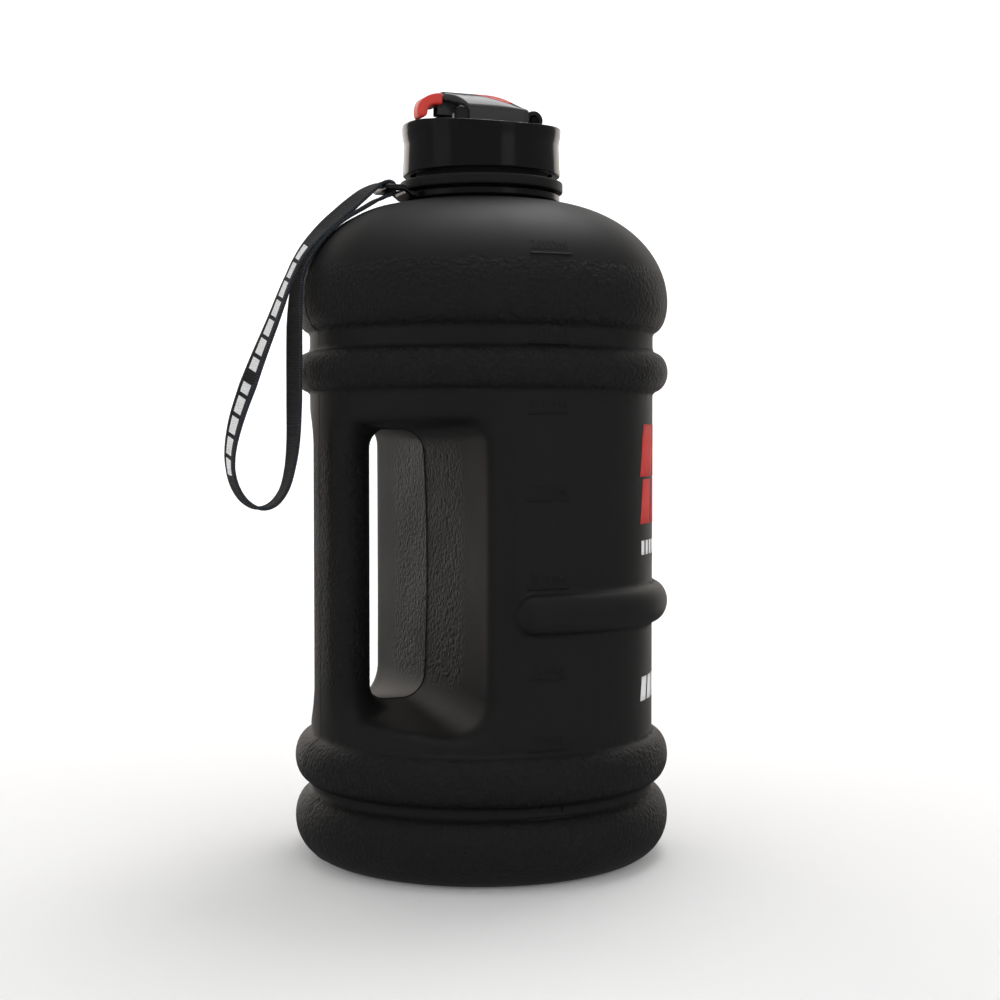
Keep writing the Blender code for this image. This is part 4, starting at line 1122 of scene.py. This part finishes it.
class JUG_OT_level_marks(bpy.types.Operator):
    """Raise the graduation lines and their numbers on the wall"""
    bl_idname = "jug.level_marks"
    bl_label = "Level marks"

    def execute(self, context):
        settings = context.scene.jug_body
        coating = bpy.data.materials["soft_touch_lacquer"]
        places = [(0.0, 0.0, z * MM) for z, _ in LEVELS]
        radii = [bottle_radius(z * MM) + (GROOVE_LIFT if reads == GROOVE_LEVEL else 0.0)
                 for z, reads in LEVELS]
        start = points_mesh("mark_places", places, radius=radii)
        marks = grown("level_marks", level_mark_tree(coating),
                      {"Width": settings.mark_width, "Thickness": 0.42 * MM,
                       "Angle": settings.mark_angle}, start)
        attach(marks, "jug")

        parts = bmesh.new()
        for z, reads in LEVELS:
            curve = bpy.data.curves.new("number", "FONT")
            curve.body = f"{reads}ml"
            curve.size, curve.extrude, curve.resolution_u = 4.6 * MM, 0.18 * MM, 3
            curve.align_x = "CENTER"
            text = bpy.data.objects.new("number", curve)
            context.scene.collection.objects.link(text)
            context.view_layer.update()
            mesh = bpy.data.meshes.new_from_object(text.evaluated_get(context.evaluated_depsgraph_get()))
            for vert in mesh.vertices:
                level = z * MM + 1.6 * MM + vert.co.y
                radius = bottle_radius(level) - 0.04 * MM + vert.co.z
                angle = settings.mark_angle + vert.co.x / bottle_radius(level)
                vert.co = (radius * math.cos(angle), radius * math.sin(angle), level)
            parts.from_mesh(mesh)
            bpy.data.objects.remove(text, do_unlink=True)
        joined = bpy.data.meshes.new("level_numbers")
        parts.to_mesh(joined)
        parts.free()
        tidy_normals(joined)
        joined.set_sharp_from_angle(angle=math.radians(30))
        numbers = new_object("level_numbers", joined, coating)
        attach(numbers, "jug")
        return {"FINISHED"}


class JUG_OT_front_print(bpy.types.Operator):
    """Print rows of plain slanted blocks on the front of the wall"""
    bl_idname = "jug.front_print"
    bl_label = "Front print"

    def execute(self, context):
        settings = context.scene.jug_body
        red = moulded_satin("red_pad_print", settings.print_colour, 0.7)
        white = moulded_satin("white_pad_print", linear("dcdcdc"), 0.7)
        for name, is_red, count, share, height, level, lean in PRINT_ROWS:
            row = grown(name, print_row_tree(red if is_red else white),
                        {"Count": count, "Pitch": PRINT_SPAN * WALL_R / (count - 1 + share), "Share": share,
                         "Height": height * MM, "Lean": lean, "Level": level * MM, "Angle": PRINT_START,
                         "Radius": WALL_R + 0.02 * MM})
            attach(row, "jug")
        return {"FINISHED"}


def carrier_field(x, y, z):
    """Loose ring with a slotted lug."""
    ring = extruded(np.abs(np.hypot(x, y) - RING_R) - RING_HALF[0],
                    np.abs(z - RING_Z) - RING_HALF[1], 0.8 * MM)
    lug = extruded(LUG_TABLE(x, z), np.abs(y) - 7.8 * MM, 0.7 * MM)
    slot = extruded(np.abs(x - SLOT_X) - SLOT_HALF[0], np.abs(y) - SLOT_HALF[1], 0.8 * MM)
    return smooth_max(smooth_min(ring, lug, 0.8 * MM), -slot, 0.9 * MM)


LUG_TABLE = distance_table([(x * MM, z * MM) for x, z in (
    (-26.6, 234.4), (-29.0, 234.5), (-31.6, 236.5), (-37.8, 236.5), (-38.6, 237.1), (-38.6, 238.1),
    (-37.8, 238.7), (-31.6, 238.7), (-29.6, 236.9), (-26.6, 236.7))], 0.1 * MM)


class JUG_OT_carrier_ring(bpy.types.Operator):
    """Make the loose ring and the lug that carry the strap"""
    bl_idname = "jug.carrier_ring"
    bl_label = "Carrier ring"

    def execute(self, context):
        settings = context.scene.jug_cap
        gloss = moulded_gloss("moulded_gloss_ring", settings.colour, 0.2)
        ring = skin("strap_carrier", carrier_field, (-41 * MM, -30 * MM, 232 * MM),
                    (30 * MM, 30 * MM, 241 * MM), 0.45 * MM, gloss)
        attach(ring, "carrier")
        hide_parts("carrier_ring")
        return {"FINISHED"}


def cap_outline():
    """Section of the cap's shell, as (radius, height), without the spout."""
    lip_r, waist_r, rim_r, bore_r = 28.3 * MM, 27.8 * MM, 28.6 * MM, 25.6 * MM
    outline = [(bore_r, CAP_LIP_Z), (lip_r, CAP_LIP_Z), (lip_r - 0.1 * MM, CAP_LIP_Z + 2.0 * MM)]
    outline += [(waist_r, CAP_LIP_Z + 11 * MM), (rim_r - 0.2 * MM, CAP_DECK_Z), (rim_r, CAP_RIM_Z),
                (CAP_INNER_R, CAP_RIM_Z), (CAP_INNER_R, CAP_DECK_Z), (5 * MM, CAP_DECK_Z),
                (5 * MM, CAP_CEILING_Z), (bore_r, CAP_CEILING_Z)]
    return soften(outline, 0.55 * MM)


CAP_TABLE = distance_table(cap_outline(), 0.12 * MM)
EAR_TABLE = distance_table([(PIN[0] + 2.7 * MM, 257.3 * MM)] + arc(PIN, (3.4 * MM, 3.4 * MM), -25, 205, 24)
                           + [(PIN[0] - 2.7 * MM, 257.3 * MM)], 0.1 * MM)


def cap_field(x, y, z):
    """Screw cap with its spout, hinge ears and latch posts."""
    side = np.arctan2(y, x)
    rim = 2.1 * MM * np.cos(side) ** 2 - 0.6 * MM * (np.cos(side) - 1.0) / 2
    stretch = (CAP_RIM_Z - CAP_DECK_Z) / (CAP_RIM_Z + rim - CAP_DECK_Z)
    level = np.where(z > CAP_DECK_Z, CAP_DECK_Z + (z - CAP_DECK_Z) * stretch, z)
    shell = CAP_TABLE(np.hypot(x, y), level)
    from_spout = np.hypot(x - SPOUT_X, y)
    spout = extruded(from_spout - SPOUT_R, np.abs(z - 261 * MM) - 4.2 * MM, 0.6 * MM)
    deck = extruded(from_spout - SPOUT_R - 1.5 * MM, np.abs(z - 257.4 * MM) - 0.7 * MM, 0.1 * MM)
    ears = extruded(EAR_TABLE(x, z), np.abs(np.abs(y) - EAR_Y) - 1.3 * MM, 0.35 * MM)
    rounded = np.hypot(x - POST_X, np.maximum(z - POST_TOP_Z, 0)) - POST_R
    tall = np.maximum(rounded, 257.4 * MM - z)
    posts = extruded(tall, np.abs(np.abs(y) - POST_Y) - 1.5 * MM, 0.5 * MM)
    solid = smooth_min(smooth_min(shell, smooth_min(spout, deck, 0.3 * MM), 0.5 * MM),
                       smooth_min(ears, posts, 0.1 * MM), 0.5 * MM)
    bore = np.maximum(from_spout - SPOUT_BORE_R, 254 * MM - z)
    pin_hole = np.maximum(np.hypot(x - PIN[0], z - PIN[1]) - 1.6 * MM, 3 * MM - np.abs(y))
    return smooth_max(solid, -np.minimum(bore, pin_hole), 0.3 * MM)


class JUG_OT_screw_cap(bpy.types.Operator):
    """Make the glossy screw cap with its spout, ears, posts and thread"""
    bl_idname = "jug.screw_cap"
    bl_label = "Screw cap"

    def execute(self, context):
        settings = context.scene.jug_cap
        gloss = moulded_gloss("moulded_gloss_cap", settings.colour, 0.14)
        cap = skin("cap_shell", cap_field, (-31 * MM, -31 * MM, 241 * MM), (31 * MM, 31 * MM, 269 * MM),
                   settings.cell, gloss)
        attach(cap, "cap")
        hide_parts("screw_cap")
        lines = grown("cap_mould_lines", mould_line_tree(gloss),
                      {"Count": settings.mould_lines, "Radius": 27.88 * MM,
                       "Low": 249.5 * MM, "High": 254.0 * MM})
        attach(lines, "cap")
        thread = grown("cap_thread", thread_tree(gloss),
                       {"Turns": 1.0, "Radius": 25.3 * MM, "Rise": THREAD_LEAD,
                        "Level": 248.2 * MM, "Ridge": 0.8 * MM})
        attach(thread, "cap")
        return {"FINISHED"}


def crown_height(x):
    """Height of the lid's middle line: flat at the neck, falling in a curve to the hinge."""
    fall = np.clip((x + 1 * MM) / (LID_X[2] + 1 * MM), 0.0, 1.0)
    return LID_CROWN_Z - (LID_CROWN_Z - LID_EDGE_Z - 0.3 * MM) * fall ** 2.6


def lid_half_width(x):
    """Half the lid's width in plan: narrow neck, full width, rounded hinge end."""
    share = np.clip((x - LID_X[0]) / (LID_X[1] - LID_X[0]), 0.0, 1.0)
    return ARM_HALF + (LID_HALF - ARM_HALF) * share ** 2.2


def lid_top(x, y, z):
    """Distance above the lid's crowned top, divided by its slope so that it is a true distance."""
    crown = 1.0 - np.minimum(np.abs(y) / LID_HALF, 1.0) ** 2.2
    above = z - (LID_EDGE_Z + (crown_height(x) - LID_EDGE_Z) * crown)
    tilt = 2.2 * (crown_height(x) - LID_EDGE_Z) / LID_HALF * np.minimum(np.abs(y) / LID_HALF, 1.0) ** 1.2
    return above / np.sqrt(1 + tilt ** 2)


def lid_block(x, y, z):
    """Solid under the lid's crowned top."""
    side = smooth_max(np.abs(y) - lid_half_width(x), x - LID_X[2], 3.0 * MM)
    side = smooth_max(side, LID_X[0] - x, 0.3 * MM)
    block = smooth_max(lid_top(x, y, z), side, 1.0 * MM)
    return smooth_max(block, LID_LOW_Z - z, 0.5 * MM)


TONGUE_TABLE = distance_table([(x * MM, z * MM) for x, z in (
    (-22.4, 264.6), (-8.4, 264.6), (-8.4, 268.5), (-10.0, 270.8), (-16.0, 270.8),
    (-16.0, 268.2), (-22.4, 267.4))], 0.1 * MM)


def inlay_plan(x, y):
    """Distance to the inlay's plan: pointed towards the tab, straight across towards the hinge."""
    return INLAY_TABLE(x, np.abs(y))


def inlay_outline():
    left, right, half = -7.6 * MM, 8.2 * MM, 8.6 * MM
    shares = [i / 16 for i in range(17)]
    edge = [(left + (right - left) * s, half * math.sin(s * math.pi / 2) ** 0.8) for s in shares]
    return edge + [(x, -y) for x, y in reversed(edge[1:])]


INLAY_TABLE = distance_table(inlay_outline(), 0.1 * MM)


def lid_field(x, y, z):
    """Flip lid: crowned top, side walls, neck, knuckle and the inlay's recess."""
    block = lid_block(x, y, z)
    width = LID_X[1] - LID_X[0]
    under = np.clip((x - (LID_X[1] - width)) / width, 0.0, 1.0)
    arm_low = ARM_LOW_Z - ARM_SAG + ARM_SAG * np.sqrt(np.maximum(1 - under ** 2, 0.0))
    beneath = np.maximum(z - arm_low, x - LID_X[1])
    block = smooth_max(block, -beneath, 0.6 * MM)
    within_walls = np.maximum(LID_X[1] + 1.7 * MM - x, np.abs(y) - LID_HALF + 1.7 * MM)
    inside = np.maximum(within_walls, z - LID_EDGE_Z)
    block = smooth_max(block, -inside, 0.5 * MM)
    notch = np.maximum(np.maximum(PIN[0] - 4.0 * MM - x, 5.9 * MM - np.abs(y)), np.abs(y) - 9.3 * MM)
    block = smooth_max(block, -notch, 0.3 * MM)
    knuckle = np.hypot(x - PIN[0], z - PIN[1]) - 3.1 * MM
    web = np.maximum(np.maximum(11.6 * MM - x, x - PIN[0]), np.maximum(PIN[1] - z, z - 267.2 * MM))
    knuckle = extruded(smooth_min(knuckle, web, 0.4 * MM), np.abs(y) - 5.9 * MM, 0.3 * MM)
    block = smooth_min(block, knuckle, 0.4 * MM)
    block = smooth_max(block, 1.6 * MM - np.hypot(x - PIN[0], z - PIN[1]), 0.2 * MM)
    tongue = extruded(TONGUE_TABLE(x, z), np.abs(y) - 2.2 * MM, 0.4 * MM)
    block = smooth_min(block, tongue, 0.5 * MM)
    recess = np.maximum(inlay_plan(x, y) - 0.3 * MM, -lid_top(x, y, z) - 1.3 * MM)
    return smooth_max(block, -recess, 0.3 * MM)


def inlay_field(x, y, z):
    """Coloured insert, flush with the lid's crowned top."""
    top = lid_top(x, y, z)
    return extruded(inlay_plan(x, y), np.maximum(top, -top - 1.0 * MM), 0.3 * MM)


# The thumb tab's side view, as (x, z), and half of its plan, as (x, y), in millimetres
TAB_SIDE = [
    (-16.7, 272.0), (-19.5, 271.7), (-22.2, 270.8), (-24.3, 269.0), (-25.2, 266.8),
    (-25.2, 264.6), (-24.4, 263.4), (-23.0, 263.3), (-22.2, 264.2), (-22.0, 266.0),
    (-21.4, 267.0), (-20.2, 267.5), (-18.8, 267.7), (-16.7, 267.8),
]
TAB_PLAN = [(-16.0, 6.2), (-20.0, 6.2), (-22.0, 5.7), (-23.6, 4.7), (-24.7, 3.4), (-25.5, 2.2)]
TAB_SIDE_TABLE = distance_table(soften([(x * MM, z * MM) for x, z in TAB_SIDE], 1.2 * MM), 0.1 * MM)
TAB_PLAN_TABLE = distance_table([(x * MM, y * MM) for x, y in TAB_PLAN]
                                + [(x * MM, -y * MM) for x, y in reversed(TAB_PLAN)], 0.1 * MM)


def tab_field(x, y, z):
    """Hooked tab at the lid's free end, narrower towards its tip."""
    plan = np.maximum(TAB_PLAN_TABLE(x, y), x + 16.7 * MM)
    return smooth_max(TAB_SIDE_TABLE(x, z), plan, 1.2 * MM)


class JUG_OT_flip_lid(bpy.types.Operator):
    """Make the crowned flip lid, its red inlay and the thumb tab"""
    bl_idname = "jug.flip_lid"
    bl_label = "Flip lid"

    def execute(self, context):
        settings = context.scene.jug_cap
        satin = moulded_gloss("moulded_semi_gloss_lid", settings.lid_colour, 0.22)
        red = moulded_gloss("moulded_semi_gloss_red", settings.accent, 0.3)
        # name, form, its box and cell size in millimetres, finish, node and slot
        pieces = [("lid_shell", lid_field, (-18, -13.5, 257), (22, 13.5, 275), 0.36, satin,
                   "flip_lid", "lid_black"),
                  ("lid_badge", inlay_field, (-9, -10, 264), (10, 10, 275), 0.33, red,
                   "lid_inlay", "red_plastic"),
                  ("lid_tab", tab_field, (-27, -8, 261), (-15, 8, 274), 0.33, red,
                   "thumb_tab", "red_plastic")]
        for name, field, low, high, cell, mat, node, slot in pieces:
            piece = skin(name, field, [v * MM for v in low], [v * MM for v in high], cell * MM, mat)
            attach(piece, "lid")
            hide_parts(node)
        return {"FINISHED"}


class JUG_OT_inner_parts(bpy.types.Operator):
    """Give the gasket, the seal and the hinge pin their finishes"""
    bl_idname = "jug.inner_parts"
    bl_label = "Gasket, seal and pin"

    def execute(self, context):
        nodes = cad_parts
        silicone = moulded_satin("cured_silicone", linear("6b6b6b"), 0.6, spark=0.02 * MM)
        silicone.node_tree.nodes["Principled BSDF"].inputs["Subsurface Weight"].default_value = 0.05
        # black-oxide wire: dark metal with fine lines along Y, the way it was drawn
        wire, tree, shader = new_material("black_oxide_wire", linear("2c2c2e"), 0.35, Metallic=1.0)
        place = add_node(tree, "ShaderNodeTexCoord").outputs["Object"]
        drawn = add_node(tree, "ShaderNodeMapping", {"Vector": place, "Scale": (6000.0, 120.0, 6000.0)})
        lines = add_node(tree, "ShaderNodeTexNoise", {"Vector": drawn, "Scale": 1.0, "Detail": 3.0})
        bump = add_node(tree, "ShaderNodeBump", {"Height": lines, "Strength": 0.4,
                                                 "Distance": 0.02 * MM})
        tree.links.new(bump.outputs["Normal"], shader.inputs["Normal"])
        for name, mat in (("cap_gasket", silicone), ("lid_seal", silicone), ("hinge_pin", wire)):
            nodes[name].material_slots[0].material = mat
        return {"FINISHED"}


OPERATORS = (JUG_OT_stage, JUG_OT_wrist_strap, JUG_OT_strap_stitches, JUG_OT_bottle, JUG_OT_parting_seam,
             JUG_OT_level_marks, JUG_OT_front_print, JUG_OT_carrier_ring, JUG_OT_screw_cap,
             JUG_OT_flip_lid, JUG_OT_inner_parts)
SETTINGS = {"jug_body": JugBodySettings, "jug_strap": JugStrapSettings,
            "jug_cap": JugCapSettings, "jug_stage": JugStageSettings}


class JUG_PT_pieces(bpy.types.Panel):
    """Pieces of the water jug and their settings"""
    bl_idname = "JUG_PT_pieces"
    bl_label = "Water Jug"
    bl_space_type = "VIEW_3D"
    bl_region_type = "UI"
    bl_category = "Water Jug"

    def draw(self, context):
        for name, group in SETTINGS.items():
            column = self.layout.column(align=True)
            for prop in group.__annotations__:
                column.prop(getattr(context.scene, name), prop)
        for operator in OPERATORS:
            self.layout.operator(operator.bl_idname)


def register():
    """Add the settings, the operators and the panel to Blender."""
    for cls in (*SETTINGS.values(), *OPERATORS, JUG_PT_pieces):
        bpy.utils.register_class(cls)
    for name, group in SETTINGS.items():
        setattr(bpy.types.Scene, name, PointerProperty(type=group))


def unregister():
    """Take them out again, in the opposite order."""
    for name in SETTINGS:
        delattr(bpy.types.Scene, name)
    for cls in reversed((*SETTINGS.values(), *OPERATORS, JUG_PT_pieces)):
        bpy.utils.unregister_class(cls)


def main():
    """Make every piece in its order."""
    register()
    for operator in OPERATORS:
        group, name = operator.bl_idname.split(".")
        getattr(getattr(bpy.ops, group), name)()


if __name__ == "__main__":
    main()
